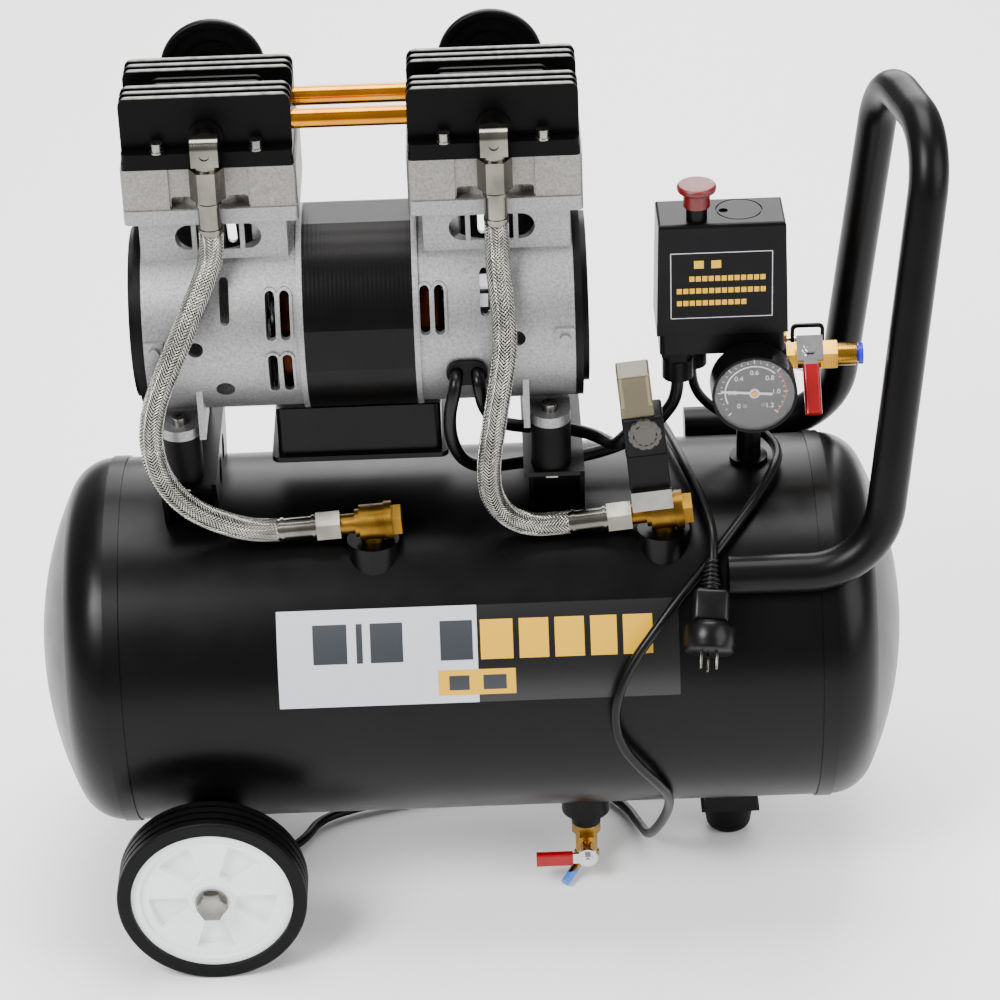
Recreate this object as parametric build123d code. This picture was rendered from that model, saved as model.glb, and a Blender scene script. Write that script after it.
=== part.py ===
from build123d import *
import math
import os

# Twin-cylinder oil-free air compressor on a wheeled horizontal tank.
# All sizes are millimetres. X runs along the tank towards the handle, Y from the
# front (hose side) to the back, Z up. Everything is drawn from the tank's middle,
# with the floor at Z = 0, and moved to the finished origin when it is written.

# ---- Tank ----
tank_radius = 122.5
tank_wall = 2.5
tank_half_length = 288.5
seam_half_span = 232.0
seam_width = 10.0
seam_height = 1.2
knuckle_radius = 30.0
tank_axis_z = 172.0

# ---- Wheels, foot and base ----
wheel_radius = 62.5
rim_radius = 53.2
rim_width = 22.0
tyre_width = 28.0
tread_depth = 2.8
wheel_x = -176.6
wheel_mid_y = 141.0
axle_radius = 5.0
axle_clearance = 0.05
hub_radius = 13.5
hub_length = 26.0
wheel_spokes = 5
foot_x = 174.0
foot_radius = 18.5
foot_height = 25.0
sheet = 3.0
bracket_half_width = 18.0

# ---- Handle ----
handle_radius = 12.5
handle_wall = 1.5
handle_end_x = {"front": 168.0, "back": 152.0}
handle_low_bend = 50.0
handle_top_bend = 43.0
handle_top_z = 545.5
handle_low_x = {"front": 262.4, "back": 252.0}
handle_top_x = {"front": 296.5, "back": 276.8}
handle_top_y = 50.3

# ---- Motor ----
motor_mid_x = -62.5
motor_axis_z = 420.0
stator_length = 69.0
stator_radius = 66.0
stator_flat = 64.5
rotor_radius = 35.0
air_gap = 0.6
shaft_radius = 7.5
housing_length = 101.0
housing_radius = 63.5
housing_wall = 3.5
cover_thickness = 9.0
bearing_outer = 17.5
bearing_width = 11.0
cylinder_offset = 88.5
opening_shift = {-1: 0.0, 1: 4.0}
crank_throw = 8.0
eccentric_radius = 17.0
rod_width = 12.0
running_gap = 0.05
open_gap = 1.0

# ---- Cylinders and heads ----
bore_radius = 31.85
sleeve_wall = 2.6
neck_half_width = 46.0
neck_half_depth = 35.0
block_half_width = 54.5
block_half_depth = 39.0
lip_height = 9.5
sleeve_hang = 3.0
block_height = 27.5
plate_height = 5.0
flange_height = 5.5
head_height = 34.5
head_half_depth = 30.4
head_half_width = 53.0
fin_height = 12.0
fin_thickness = 2.6
fin_count = 8
short_fins = (3, 4)
lip_bottom_z = 500.0

# ---- Mounts under the motor ----
mount_span_x = 118.5
mount_y = 45.0
mount_radius = 13.0
mount_height = 31.0
saddle_top_z = 324.0

# ---- Valves and hoses ----
hose_radius = 7.5
ferrule_radius = 7.2
valve_x = {"left": -61.0, "right": 127.0}
valve_tilt = {"left": 3.5, "right": 5.5}
valve_y = -64.0
valve_z = 294.5
valve_radius = 11.5
bung_radius = 17.0
bung_top_z = 282.0
elbow_y = -49.0
outlet_z = 555.5
silencer_z = 558.5
silencer_radius = 33.8
silencer_front_y = 62.0

# ---- Pressure switch group ----
column_x = 187.0
column_z = 370.0
gauge_radius = 27.4
gauge_face_y = -48.0
gauge_depth = 21.0
gauge_z = 368.0
switch_x = 168.0
switch_half_width = 42.0
switch_front_y = -25.0
switch_back_y = 17.0
switch_base_z = 386.0
switch_split_z = 401.0
switch_top_z = 478.0
knob_x = 152.5
knob_y = -13.0
lever_tilt = 45.0
push_tube_radius = 4.0
outlet_x = 211.0
collet_end_x = 261.0
safety_y = 19.5

# ---- Drain ----
drain_x = 73.0
drain_y = -45.0
drain_stem_z = 22.0
drain_lever_reach = 19.5

# ---- Leads ----
mains_radius = 3.25
motor_lead_radius = 4.2

nodes = {}
cord_nodes = ["mains_lead", "mains_plug"]


def keep(name, *pieces):
    """Store every solid of the pieces under the node's name."""
    nodes[name] = [solid for piece in pieces for solid in piece.solids()]


def block(x0, x1, y0, y1, z0, z1):
    middle = Pos((x0 + x1) / 2, (y0 + y1) / 2, (z0 + z1) / 2)
    return middle * Box(abs(x1 - x0), abs(y1 - y0), abs(z1 - z0))


def rod_x(radius, x0, x1, y, z):
    return Pos((x0 + x1) / 2, y, z) * Rot(0, 90, 0) * Cylinder(radius, abs(x1 - x0))


def rod_y(radius, y0, y1, x, z):
    return Pos(x, (y0 + y1) / 2, z) * Rot(90, 0, 0) * Cylinder(radius, abs(y1 - y0))


def rod_z(radius, z0, z1, x, y):
    return Pos(x, y, (z0 + z1) / 2) * Cylinder(radius, abs(z1 - z0))


def hexagon(across_flats, length):
    """A hexagonal bar along +Z that starts at Z = 0."""
    outline = RegularPolygon(across_flats / 2, 6, major_radius=False)
    return extrude(outline, length)


def hex_x(across_flats, x0, x1, y, z):
    return Pos(min(x0, x1), y, z) * Rot(0, 90, 0) * hexagon(across_flats, abs(x1 - x0))


def hex_z(across_flats, z0, z1, x, y):
    return Pos(x, y, min(z0, z1)) * hexagon(across_flats, abs(z1 - z0))


def slot_y(x, z, width, height, y0, y1):
    """An upright round-ended slot cut along Y."""
    half = height / 2 - width / 2
    body = block(x - width / 2, x + width / 2, y0, y1, z - half, z + half)
    return body + rod_y(width / 2, y0, y1, x, z - half) + rod_y(width / 2, y0, y1, x, z + half)


def slot_x(x, z, width, height, y0, y1):
    """A level round-ended slot cut along Y."""
    half = width / 2 - height / 2
    body = block(x - half, x + half, y0, y1, z - height / 2, z + height / 2)
    return body + rod_y(height / 2, y0, y1, x - half, z) + rod_y(height / 2, y0, y1, x + half, z)


def tank_body(radius):
    return rod_x(radius, -tank_half_length, tank_half_length, 0, tank_axis_z)


def arc_radii(points, share=0.45):
    """The largest tangent arcs that two neighbouring runs leave room for."""
    radii = []
    for before, here, after in zip(points, points[1:], points[2:]):
        first = Vector(*here) - Vector(*before)
        second = Vector(*after) - Vector(*here)
        turn = math.radians(first.get_angle(second))
        radii.append(share * min(first.length, second.length) / math.tan(turn / 2))
    return radii


def tube(points, radius, label, radii=None, bore=0.0):
    """A round tube or bar along straight runs joined by tangent arcs."""
    radii = radii or arc_radii(points)
    path = FilletPolyline(*points, radius=radii)
    section = Circle(radius) - Circle(bore) if bore else Circle(radius)
    body = sweep((path ^ 0) * section, path=path)
    ideal = path.length * math.pi * (radius ** 2 - bore ** 2)
    rounded = [round(value) for value in radii]
    print(label, "length", round(path.length), "volume ratio", round(body.volume / ideal, 3))
    print(label, "radii", rounded)
    return body


# ---------------------------------------------------------------- tank


def dome_profile(offset):
    """Half outline of a dished end: knuckle and crown arcs, set in by offset."""
    base_x = seam_half_span + seam_width / 2
    depth = tank_half_length - base_x
    reach = tank_radius - knuckle_radius
    crown = (reach ** 2 + depth ** 2 - knuckle_radius ** 2) / (2 * (depth - knuckle_radius))
    crown_x = tank_half_length - crown
    lean = math.asin(reach / (crown - knuckle_radius))
    small = knuckle_radius - offset
    large = crown - offset
    start = (base_x, tank_radius - offset)
    half = (math.pi / 2 + (math.pi / 2 - lean)) / 2
    mid_knuckle = (base_x + small * math.cos(half), reach + small * math.sin(half))
    join = (base_x + small * math.cos(lean), reach + small * math.sin(lean))
    mid_crown = (crown_x + large * math.cos(lean / 2), large * math.sin(lean / 2))
    tip = (crown_x + large, 0)
    return start, mid_knuckle, join, mid_crown, tip


def dished_end():
    outer = dome_profile(0)
    inner = dome_profile(tank_wall)
    lap_x = seam_half_span - seam_width / 2
    edge = tank_radius + seam_height
    lines = [
        Line((lap_x, tank_radius), (lap_x, edge)),
        Line((lap_x, edge), (outer[0][0], edge)),
        Line((outer[0][0], edge), outer[0]),
        ThreePointArc(*outer[:3]),
        ThreePointArc(*outer[2:]),
        Line(outer[4], inner[4]),
        ThreePointArc(inner[4], inner[3], inner[2]),
        ThreePointArc(inner[2], inner[1], inner[0]),
        Line(inner[0], (seam_half_span, inner[0][1])),
        Line((seam_half_span, inner[0][1]), (seam_half_span, tank_radius)),
        Line((seam_half_span, tank_radius), (lap_x, tank_radius)),
    ]
    face = make_face(Curve() + lines)
    return Pos(0, 0, tank_axis_z) * revolve(face, Axis.X, 360)


def make_tank():
    shell = rod_x(tank_radius, -seam_half_span, seam_half_span, 0, tank_axis_z)
    shell -= rod_x(tank_radius - tank_wall, -seam_half_span, seam_half_span, 0, tank_axis_z)
    port = 6.0
    for x in valve_x.values():
        shell -= rod_z(port, tank_axis_z, bung_top_z, x, valve_y)
    shell -= rod_z(port, tank_axis_z, tank_axis_z + tank_radius + 5, column_x, 0)
    shell -= rod_z(port, 20, tank_axis_z, drain_x, drain_y)
    keep("tank_shell", shell)
    end = dished_end()
    keep("tank_heads", end, mirror(end, Plane.YZ))

    bungs = []
    for x in valve_x.values():
        bung = rod_z(bung_radius, tank_axis_z + 60, bung_top_z, x, valve_y)
        bungs.append(bung - rod_z(port, 200, bung_top_z, x, valve_y) - tank_body(tank_radius))
    collar = rod_z(12.5, tank_axis_z + 90, tank_axis_z + tank_radius + 3, column_x, 0)
    bungs.append(collar - rod_z(port, 200, 320, column_x, 0) - tank_body(tank_radius))
    flange = rod_z(16.5, 49.5, 100, drain_x, drain_y) + rod_z(10, 39, 60, drain_x, drain_y)
    bungs.append(flange - rod_z(port, 30, 120, drain_x, drain_y) - tank_body(tank_radius))
    keep("tank_bungs", *bungs)


def make_saddles():
    top = saddle_top_z
    saddles = []
    for side in (-1, 1):
        x = motor_mid_x + side * mount_span_x
        cheek = Plane.YZ * Polygon((-60, top), (60, top), (38, 270), (-38, 270), align=None)
        saddle = block(x - 18, x + 18, -60, 60, top - sheet, top)
        for edge in (-18 + sheet, 18):
            saddle += Pos(x + edge, 0, 0) * extrude(cheek, -sheet)
        saddle -= tank_body(tank_radius)
        for y in (-mount_y, mount_y):
            saddle -= rod_z(4.1, top - 10, top + 5, x, y)
            saddle -= rod_x(9.5, x - 30, x + 30, math.copysign(16, y), top - 15.5)
        saddles.append(saddle)
    keep("motor_saddles", *saddles)


# ---------------------------------------------------------------- base


def make_base():
    axle_z = wheel_radius
    tank_low = tank_axis_z - tank_radius
    end_y = wheel_mid_y - hub_length / 2 - 2
    x0 = wheel_x - bracket_half_width
    x1 = wheel_x + bracket_half_width
    bracket = block(x0, x1, -end_y, end_y, tank_low - sheet, tank_low)
    for x in (x0, x1 - sheet):
        bracket += block(x, x + sheet, -end_y, end_y, tank_low, axle_z + 16)
    for y in (-end_y, end_y - sheet):
        bracket += block(x0, x1, y, y + sheet, tank_low, axle_z + 16)
    bracket -= tank_body(tank_radius)
    bracket -= rod_y(axle_radius, -end_y - 5, end_y + 5, wheel_x, axle_z)

    stand = block(foot_x - 20, foot_x + 20, -22, 22, foot_height, foot_height + sheet)
    for y in (-22, 22 - sheet):
        stand += block(foot_x - 18, foot_x + 18, y, y + sheet, foot_height, tank_low + 8)
    stand -= tank_body(tank_radius)
    stand -= rod_z(4.0, foot_height - 2, foot_height + 6, foot_x, 0)
    keep("base_brackets", bracket, stand)

    outline = [
        Line((0, 0), (foot_radius - 8, 0)),
        ThreePointArc((foot_radius - 8, 0), (foot_radius - 4.6, 1.6), (foot_radius - 3, 5)),
        Line((foot_radius - 3, 5), (foot_radius, foot_height)),
        Line((foot_radius, foot_height), (0, foot_height)),
        Line((0, foot_height), (0, 0)),
    ]
    foot = revolve(Plane.XZ * make_face(Curve() + outline), Axis.Z, 360)
    foot = Pos(foot_x, 0, 0) * foot + rod_z(4.0, foot_height, foot_height + sheet, foot_x, 0)
    keep("rubber_foot", foot)

    pieces = []
    for side in (-1, 1):
        inner = side * (end_y - sheet)
        outer = side * (wheel_mid_y + hub_length / 2 + 1)
        shank = rod_y(axle_radius, inner - side * 10, outer + side * 1.6, wheel_x, axle_z)
        turn = 90 if side < 0 else -90
        head = Pos(wheel_x, outer + side * 1.6, axle_z) * Rot(turn, 0, 0) * hexagon(17, 6.4)
        pieces.append(shank + head)
        washer = rod_y(11, outer, outer + side * 1.6, wheel_x, axle_z)
        pieces.append(washer - rod_y(axle_radius, outer - 5, outer + 5, wheel_x, axle_z))
        nut = Pos(wheel_x, inner, axle_z) * Rot(-turn, 0, 0) * hexagon(17, 8)
        pieces.append(nut - rod_y(axle_radius, inner - 20, inner + 20, wheel_x, axle_z))
    keep("axle_bolts", *pieces)


def rim(y, outward):
    """One-piece plastic wheel: hub, web with wedge recesses and a flanged rim."""
    z = wheel_radius
    face = y + outward * rim_width / 2
    body = rod_y(rim_radius, y - rim_width / 2, y + rim_width / 2, wheel_x, z)
    for side in (-1, 1):
        edge = y + side * rim_width / 2
        body -= rod_y(rim_radius - 5.5, edge, edge - side * 3.0, wheel_x, z)
    for i in range(wheel_spokes):
        middle = 270 + i * 360 / wheel_spokes
        corners = [(0, 0)]
        for angle in (middle - 18, middle + 18):
            lean = math.radians(angle)
            corners.append((50 * math.cos(lean), 50 * math.sin(lean)))
        wedge = extrude(Plane.XZ * Polygon(*corners, align=None), 6, both=True)
        wedge &= rod_y(42, -6, 6, 0, 0) - rod_y(hub_radius + 2.5, -7, 7, 0, 0)
        body -= Pos(wheel_x, face - outward * 3.0, z) * wedge
    body += rod_y(hub_radius, y - hub_length / 2, y + hub_length / 2, wheel_x, z)
    bore = axle_radius + axle_clearance
    return body - rod_y(bore, y - hub_length, y + hub_length, wheel_x, z)


def tyre(y):
    z = wheel_radius
    body = rod_y(wheel_radius, y - tyre_width / 2, y + tyre_width / 2, wheel_x, z)
    body = fillet(body.edges().filter_by(GeomType.CIRCLE), 1.8)
    body -= rod_y(rim_radius, y - tyre_width, y + tyre_width, wheel_x, z)
    for groove in (-7, 0, 7):
        ring = rod_y(wheel_radius + 2, y + groove - 1.2, y + groove + 1.2, wheel_x, z)
        ring -= rod_y(wheel_radius - tread_depth, y + groove - 2, y + groove + 2, wheel_x, z)
        body -= ring
    return body


def make_wheels():
    for name, side in (("front", -1), ("rear", 1)):
        y = side * wheel_mid_y
        keep("wheel_" + name, rim(y, side))
        keep("tyre_" + name, tyre(y))


def make_handle():
    reach = tank_radius + seam_height + handle_radius
    side_y = 99.0
    rail_z = tank_axis_z + math.sqrt(reach ** 2 - side_y ** 2)
    points = [
        (handle_end_x["back"], side_y, rail_z),
        (handle_low_x["back"], side_y, rail_z),
        (handle_top_x["back"], handle_top_y, handle_top_z),
        (handle_top_x["front"], -handle_top_y, handle_top_z),
        (handle_low_x["front"], -side_y, rail_z),
        (handle_end_x["front"], -side_y, rail_z),
    ]
    bends = [handle_low_bend, handle_top_bend, handle_top_bend, handle_low_bend]
    inner = handle_radius - handle_wall
    bar = tube(points, handle_radius, "handle", bends, inner)
    plugs = []
    lean = math.degrees(math.asin(side_y / reach))
    for side, end_x in ((-1, handle_end_x["front"]), (1, handle_end_x["back"])):
        cap = rod_x(handle_radius, end_x - 1.5, end_x, side * side_y, rail_z)
        plugs.append(cap + rod_x(inner, end_x, end_x + 12, side * side_y, rail_z))
        for x in (end_x + 16, 212):
            bead = Rot(-side * lean, 0, 0) * Pos(0, 0, tank_radius + 1.5) * Box(20, 11, 7)
            bead = Pos(x, 0, tank_axis_z) * bead - tank_body(tank_radius)
            bar += bead - rod_x(handle_radius - 0.5, 100, 300, side * side_y, rail_z)
    keep("handle", bar, *plugs)


# ---------------------------------------------------------------- motor


def make_stator():
    x0 = motor_mid_x - stator_length / 2
    x1 = motor_mid_x + stator_length / 2
    z = motor_axis_z
    core = rod_x(stator_radius, x0, x1, 0, z)
    core &= block(x0, x1, -stator_flat, stator_flat, z - stator_flat, z + stator_flat)
    core -= rod_x(rotor_radius + air_gap, x0 - 1, x1 + 1, 0, z)
    keep("stator_core", core)
    coils = []
    for start, step in ((x0, -1), (x1, 1)):
        coil = rod_x(56, start, start + step * 18, 0, z)
        coil -= rod_x(40, start - 30, start + 30, 0, z)
        coils.append(fillet(coil.edges().filter_by(GeomType.CIRCLE), 4))
    keep("stator_windings", *coils)


def make_crank():
    z = motor_axis_z
    reach = housing_length + stator_length / 2
    shaft = rod_x(shaft_radius, motor_mid_x - reach, motor_mid_x + reach, 0, z)
    pieces = [shaft]
    for side in (-1, 1):
        x = motor_mid_x + side * cylinder_offset
        disc = rod_x(eccentric_radius, x - rod_width / 2, x + rod_width / 2, 0, z + crank_throw)
        weight_x = x - side * (rod_width / 2 + 5)
        weight = rod_x(24, weight_x - 4, weight_x + 4, 0, z)
        weight -= block(weight_x - 5, weight_x + 5, -30, 30, z + 6, z + 30)
        bore = rod_x(shaft_radius, x - 40, x + 40, 0, z)
        pieces += [disc - bore, weight - bore]
    keep("crankshaft", *pieces)

    x0 = motor_mid_x - stator_length / 2
    x1 = motor_mid_x + stator_length / 2
    core = rod_x(rotor_radius, x0, x1, 0, z) + rod_x(30, x0 - 6, x1 + 6, 0, z)
    keep("rotor_core", core - rod_x(shaft_radius, x0 - 20, x1 + 20, 0, z))

    fans = []
    for side in (-1, 1):
        x = motor_mid_x + side * (housing_length + stator_length / 2 - 6)
        hub = rod_x(15, x - 5, x + 5, 0, z)
        for i in range(9):
            blade = Rot(0, 0, 32) * Box(9, 2, 30)
            hub += Pos(x, 0, z) * Rot(i * 40, 0, 0) * Pos(0, 0, 29) * blade
        fans.append(hub - rod_x(shaft_radius, x - 10, x + 10, 0, z))
    keep("cooling_fans", *fans)

    bearings = []
    for side in (-1, 1):
        x = motor_mid_x + side * bearing_x()
        ring = rod_x(bearing_outer, x - bearing_width / 2, x + bearing_width / 2, 0, z)
        bearings.append(ring - rod_x(shaft_radius + running_gap, x - 20, x + 20, 0, z))
    keep("shaft_bearings", *bearings)


def bearing_x():
    return stator_length / 2 + 27.0


def make_rods():
    """Wobble pistons: rod, big-end ring and cup-sealed disc in one stiff piece."""
    z = motor_axis_z + crank_throw
    piston_radius = bore_radius - crank_throw - open_gap
    crown_z = lip_bottom_z + lip_height + block_height - 2 * crank_throw - open_gap
    crown_z += crank_throw
    for name, side in (("conrod_left", -1), ("conrod_right", 1)):
        x = motor_mid_x + side * cylinder_offset
        ring = rod_x(eccentric_radius + 8, x - 5, x + 5, 0, z)
        stem = block(x - 4, x + 4, -8, 8, z + 12, crown_z - 4)
        disc = rod_z(piston_radius, crown_z - 8, crown_z, x, 0)
        cup = rod_z(piston_radius, crown_z, crown_z + 2, x, 0)
        cup -= rod_z(piston_radius - 1.5, crown_z + 0.6, crown_z + 3, x, 0)
        bearing = eccentric_radius + 4
        body = ring + stem + disc - rod_x(bearing, x - 9, x + 9, 0, z)
        race = rod_x(bearing, x - 5, x + 5, 0, z)
        race -= rod_x(eccentric_radius + running_gap, x - 9, x + 9, 0, z)
        keep(name, body, race, cup)


def housing(side):
    """Cast end housing: barrel, square neck to the cylinder and two feet."""
    z = motor_axis_z
    near = motor_mid_x + side * stator_length / 2
    far = near + side * housing_length
    cyl_x = motor_mid_x + side * cylinder_offset
    inner = housing_radius - housing_wall
    top = lip_bottom_z + lip_height
    body = rod_x(housing_radius, near, far, 0, z)
    body += rod_x(stator_radius, near, near + side * 3.5, 0, z)
    depth = neck_half_depth
    body += block(cyl_x - neck_half_width, cyl_x + neck_half_width, -depth, depth, z, lip_bottom_z)
    reach = block_half_depth + 1
    lip = block(cyl_x - block_half_width, cyl_x + block_half_width, -reach, reach, lip_bottom_z, top)
    body += fillet(lip.edges().filter_by(Axis.Z), 4)
    body -= rod_x(inner, near - side, far + side, 0, z)
    bore = bore_radius + sleeve_wall
    body -= rod_z(bore, z, top + 1, cyl_x, 0)
    wall_x = motor_mid_x + side * bearing_x()
    wall = rod_x(inner, wall_x - 4, wall_x + 4, 0, z)
    wall -= rod_x(bearing_outer, wall_x - 9, wall_x + 9, 0, z)
    for i in range(6):
        angle = math.radians(i * 60 + 30)
        wall -= rod_x(11, wall_x - 9, wall_x + 9, 40 * math.sin(angle), z + 40 * math.cos(angle))
    wall -= rod_z(bore, lip_bottom_z - sleeve_hang - 1, top, cyl_x, 0)
    body += wall

    mid = cyl_x - side * opening_shift[side]
    raised = rod_x(housing_radius + 1.4, near, far, 0, z) - rod_x(inner, near - side, far + side, 0, z)
    window_x = cyl_x - side * 3
    window_z = lip_bottom_z - 11.9
    for front in (-1, 1):
        y0 = front * 25
        y1 = front * 75
        window = slot_x(window_x, window_z, 54, 17.2, y0, y1)
        for bar_x in (window_x - 15, window_x + 15):
            window -= block(bar_x - 1.5, bar_x + 1.5, y0, y1, window_z - 10, window_z + 10)
        body -= window
        body -= slot_y(mid - side * 5, z + 31.8, 6, 26.2, y0, y1)
        # Paired vents in raised arches; the lead grommet takes the lower front pair's place.
        heights = (23.3,) if side > 0 and front < 0 else (23.3, -15.8)
        for rise in heights:
            for x in (mid - side * 33.6, mid - side * 42.7):
                body += slot_y(x, z + rise, 9.6, 32.6, y0, y1) & raised
                body -= slot_y(x, z + rise, 6.2, 29.4, y0, y1)
        body -= rod_y(5, y0, y1, mid + side * 14.7, z + 3.5)
        body -= rod_y(6, y0, y1, mid - side * 2, z - 28.5)
        if side > 0 and front < 0:
            for lead_x in lead_exits():
                body -= rod_y(motor_lead_radius, -75, -50, lead_x, grommet_z())
        pad_x = far - side * 6.5
        pad = block(pad_x - 6, pad_x + 6, front * 60, front * 65, z - 4, z + 10)
        body += pad + rod_y(3.4, front * 64, front * 67.5, pad_x, z + 3)

    foot_top = saddle_top_z + mount_height + 7
    foot_x = motor_mid_x + side * mount_span_x
    for front in (-1, 1):
        y = front * mount_y
        lug = rod_z(mount_radius, foot_top - 7, foot_top, foot_x, y)
        lug += block(foot_x - 13, foot_x + 13, front * 20, y, foot_top - 7, foot_top)
        lug += block(foot_x - 13, foot_x + 13, front * 18, front * 30, foot_top - 7, z - 40)
        rib_x = foot_x - side * 15
        lug += block(rib_x - 2, rib_x + 2, front * 18, front * 56, foot_top - 7, z - 30)
        lug += block(min(foot_x, rib_x), max(foot_x, rib_x), front * 18, front * 26, foot_top - 7, z - 42)
        lug -= rod_x(housing_radius - 1, near, far, 0, z)
        body += lug - rod_z(4.1, foot_top - 12, foot_top + 2, foot_x, y)
    return body


def make_housings():
    keep("motor_housings", housing(-1), housing(1))
    covers = []
    for side in (-1, 1):
        seat = motor_mid_x + side * (stator_length / 2 + housing_length)
        rim_ring = rod_x(housing_radius, seat, seat + side * 5, 0, motor_axis_z)
        dome = rod_x(housing_radius - 9, seat, seat + side * cover_thickness, 0, motor_axis_z)
        cover = rim_ring + dome - rod_x(50, seat - side, seat + side * 5, 0, motor_axis_z)
        for i in range(12):
            angle = math.radians(i * 30)
            y = 36 * math.sin(angle)
            cover -= rod_x(6, seat, seat + side * 12, y, motor_axis_z + 36 * math.cos(angle))
        covers.append(cover)
    keep("end_covers", *covers)

    feet = []
    for side in (-1, 1):
        for y in (-mount_y, mount_y):
            x = motor_mid_x + side * mount_span_x
            top = saddle_top_z + mount_height
            foot = rod_z(mount_radius, saddle_top_z, top, x, y)
            feet.append(foot - rod_z(4.1, saddle_top_z - 1, top + 1, x, y))
    keep("rubber_mounts", *feet)


def make_cylinders():
    blocks = []
    sleeves = []
    plates = []
    heads = []
    base = lip_bottom_z + lip_height
    for side in (-1, 1):
        x = motor_mid_x + side * cylinder_offset
        bore = bore_radius + sleeve_wall
        x0 = x - block_half_width
        x1 = x + block_half_width
        casting = block(x0, x1, -block_half_depth, block_half_depth, base, base + block_height)
        casting = fillet(casting.edges().filter_by(Axis.Z), 4)
        for front in (-1, 1):
            y0 = front * (block_half_depth - 2)
            y1 = front * (block_half_depth + 2)
            casting -= block(x - 25, x + 25, y0, y1, base + 0.5, base + block_height + 1)
            slot = block(x - 24, x + 24, front * 30, y1, base + 0.5, base + 8.1)
            casting -= fillet(slot.edges().filter_by(Axis.Y).sort_by(Axis.Z)[-2:], 2.5)
        casting -= rod_z(bore, base - 1, base + block_height + 1, x, 0)
        blocks.append(casting)
        sleeve_low = lip_bottom_z - sleeve_hang
        sleeve = rod_z(bore, sleeve_low, base + block_height, x, 0)
        sleeve -= rod_z(bore_radius, sleeve_low - 1, base + block_height + 1, x, 0)
        sleeves.append(sleeve)
        top = base + block_height
        plate = block(x0 + 1, x1 - 1, -block_half_depth, block_half_depth, top, top + plate_height)
        plate = fillet(plate.edges().filter_by(Axis.Z), 4)
        for port_y in (-12, 12):
            plate -= rod_z(4, top - 1, top + plate_height + 1, x, port_y)
        plates.append(plate)
        heads.append(cylinder_head(x, top + plate_height))
    keep("cylinder_blocks", *blocks, *sleeves)
    keep("valve_plates", *plates)
    keep("cylinder_heads", *heads)


def cylinder_head(x, base):
    """Finned head: bolt flange, chamber block, fins and side ports."""
    x0 = x - head_half_width
    x1 = x + head_half_width
    flange = block(x0, x1, -block_half_depth, block_half_depth, base, base + flange_height)
    flange = fillet(flange.edges().filter_by(Axis.Z), 4)
    ledge = base + flange_height
    deck = ledge + head_height - fin_height
    body = flange + block(x0, x1, -head_half_depth, head_half_depth, ledge, deck)
    pitch = (2 * head_half_depth - fin_thickness) / (fin_count - 1)
    for i in range(fin_count):
        y = -head_half_depth + i * pitch
        inset = 17 if i in short_fins else 0
        drop = 2.5 if i in short_fins else 0
        fin = block(x0 + inset, x1 - inset, y, y + fin_thickness, deck - 1, ledge + head_height - drop)
        corners = fin.edges().filter_by(Axis.Y).sort_by(Axis.Z)[-2:]
        body += fillet(corners, 6)
    chamber = block(x0 + 7, x1 - 7, -head_half_depth + 6, head_half_depth - 6, base - 1, deck - 4)
    body -= chamber - block(x - 45, x + 45, -2, 2, base - 1, deck)
    body += rod_y(10.5, -head_half_depth - 3, -head_half_depth + 8, x, outlet_z)
    body += rod_y(12, head_half_depth - 8, head_half_depth + 2, x, outlet_z)
    body -= rod_y(6.5, -head_half_depth - 5, -head_half_depth + 10, x, outlet_z)
    body -= rod_y(9, head_half_depth - 10, block_half_depth + 5, x, outlet_z)
    for y in pipe_y():
        side = 1 if x < motor_mid_x else -1
        face = x + side * head_half_width
        body -= rod_x(pipe_radius(), face - side * 10, face + side, y, pipe_z())
    for screw_x, screw_y in head_screw_places(x):
        body -= rod_z(2.6, base - 1, ledge + 1, screw_x, screw_y)
    return body


def pipe_y():
    return (-23.5, 10.5)


def pipe_z():
    return outlet_z + 6.0


def pipe_radius():
    return 6.2


def head_screw_places(x):
    return [(x + dx, y) for dx in (-30.5, 30.5) for y in (-35.3, 35.3)]


def make_head_fittings():
    pipes = []
    reach = cylinder_offset - head_half_width + 6
    for y in pipe_y():
        pipe = rod_x(pipe_radius(), motor_mid_x - reach, motor_mid_x + reach, y, pipe_z())
        pipe -= rod_x(pipe_radius() - 1.2, motor_mid_x - 99, motor_mid_x + 99, y, pipe_z())
        pipes.append(pipe)
    keep("transfer_pipes", *pipes)

    silencers = []
    elbows = []
    for side in (-1, 1):
        x = motor_mid_x + side * cylinder_offset
        front = silencer_front_y
        drum = rod_y(silencer_radius, front, front + 5.5, x, silencer_z)
        drum = fillet(drum.edges().filter_by(GeomType.CIRCLE), 1.5)
        drum += Pos(x, front + 13.5, silencer_z) * Rot(90, 0, 0) * Cone(24, 31.5, 16)
        for ring in (29, 21, 13):
            groove = rod_y(ring, front - 1, front + 1.5, x, silencer_z)
            drum -= groove - rod_y(ring - 3.5, front - 1, front + 1.5, x, silencer_z)
        drum += rod_y(9, head_half_depth - 8, front + 1, x, outlet_z)
        drum -= rod_y(5, head_half_depth - 9, front + 16, x, outlet_z)
        silencers.append(drum)
        elbow = rod_y(6.5, elbow_y, -head_half_depth + 8, x, outlet_z)
        front = elbow_y - 8.5
        elbow += block(x - 8.5, x + 8.5, front, elbow_y + 8.5, outlet_z - 9.5, outlet_z + 7.5)
        elbow = fillet(elbow.edges().filter_by(Axis.X).sort_by(Axis.Z)[-2:], 6)
        elbow += rod_z(7.5, 534, outlet_z, x, elbow_y)
        elbow -= rod_y(3.2, front - 1, front + 1.2, x, outlet_z - 2)
        elbows.append(elbow)
    keep("intake_silencers", *silencers)
    keep("outlet_elbows", *elbows)


# ---------------------------------------------------------------- screws


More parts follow.
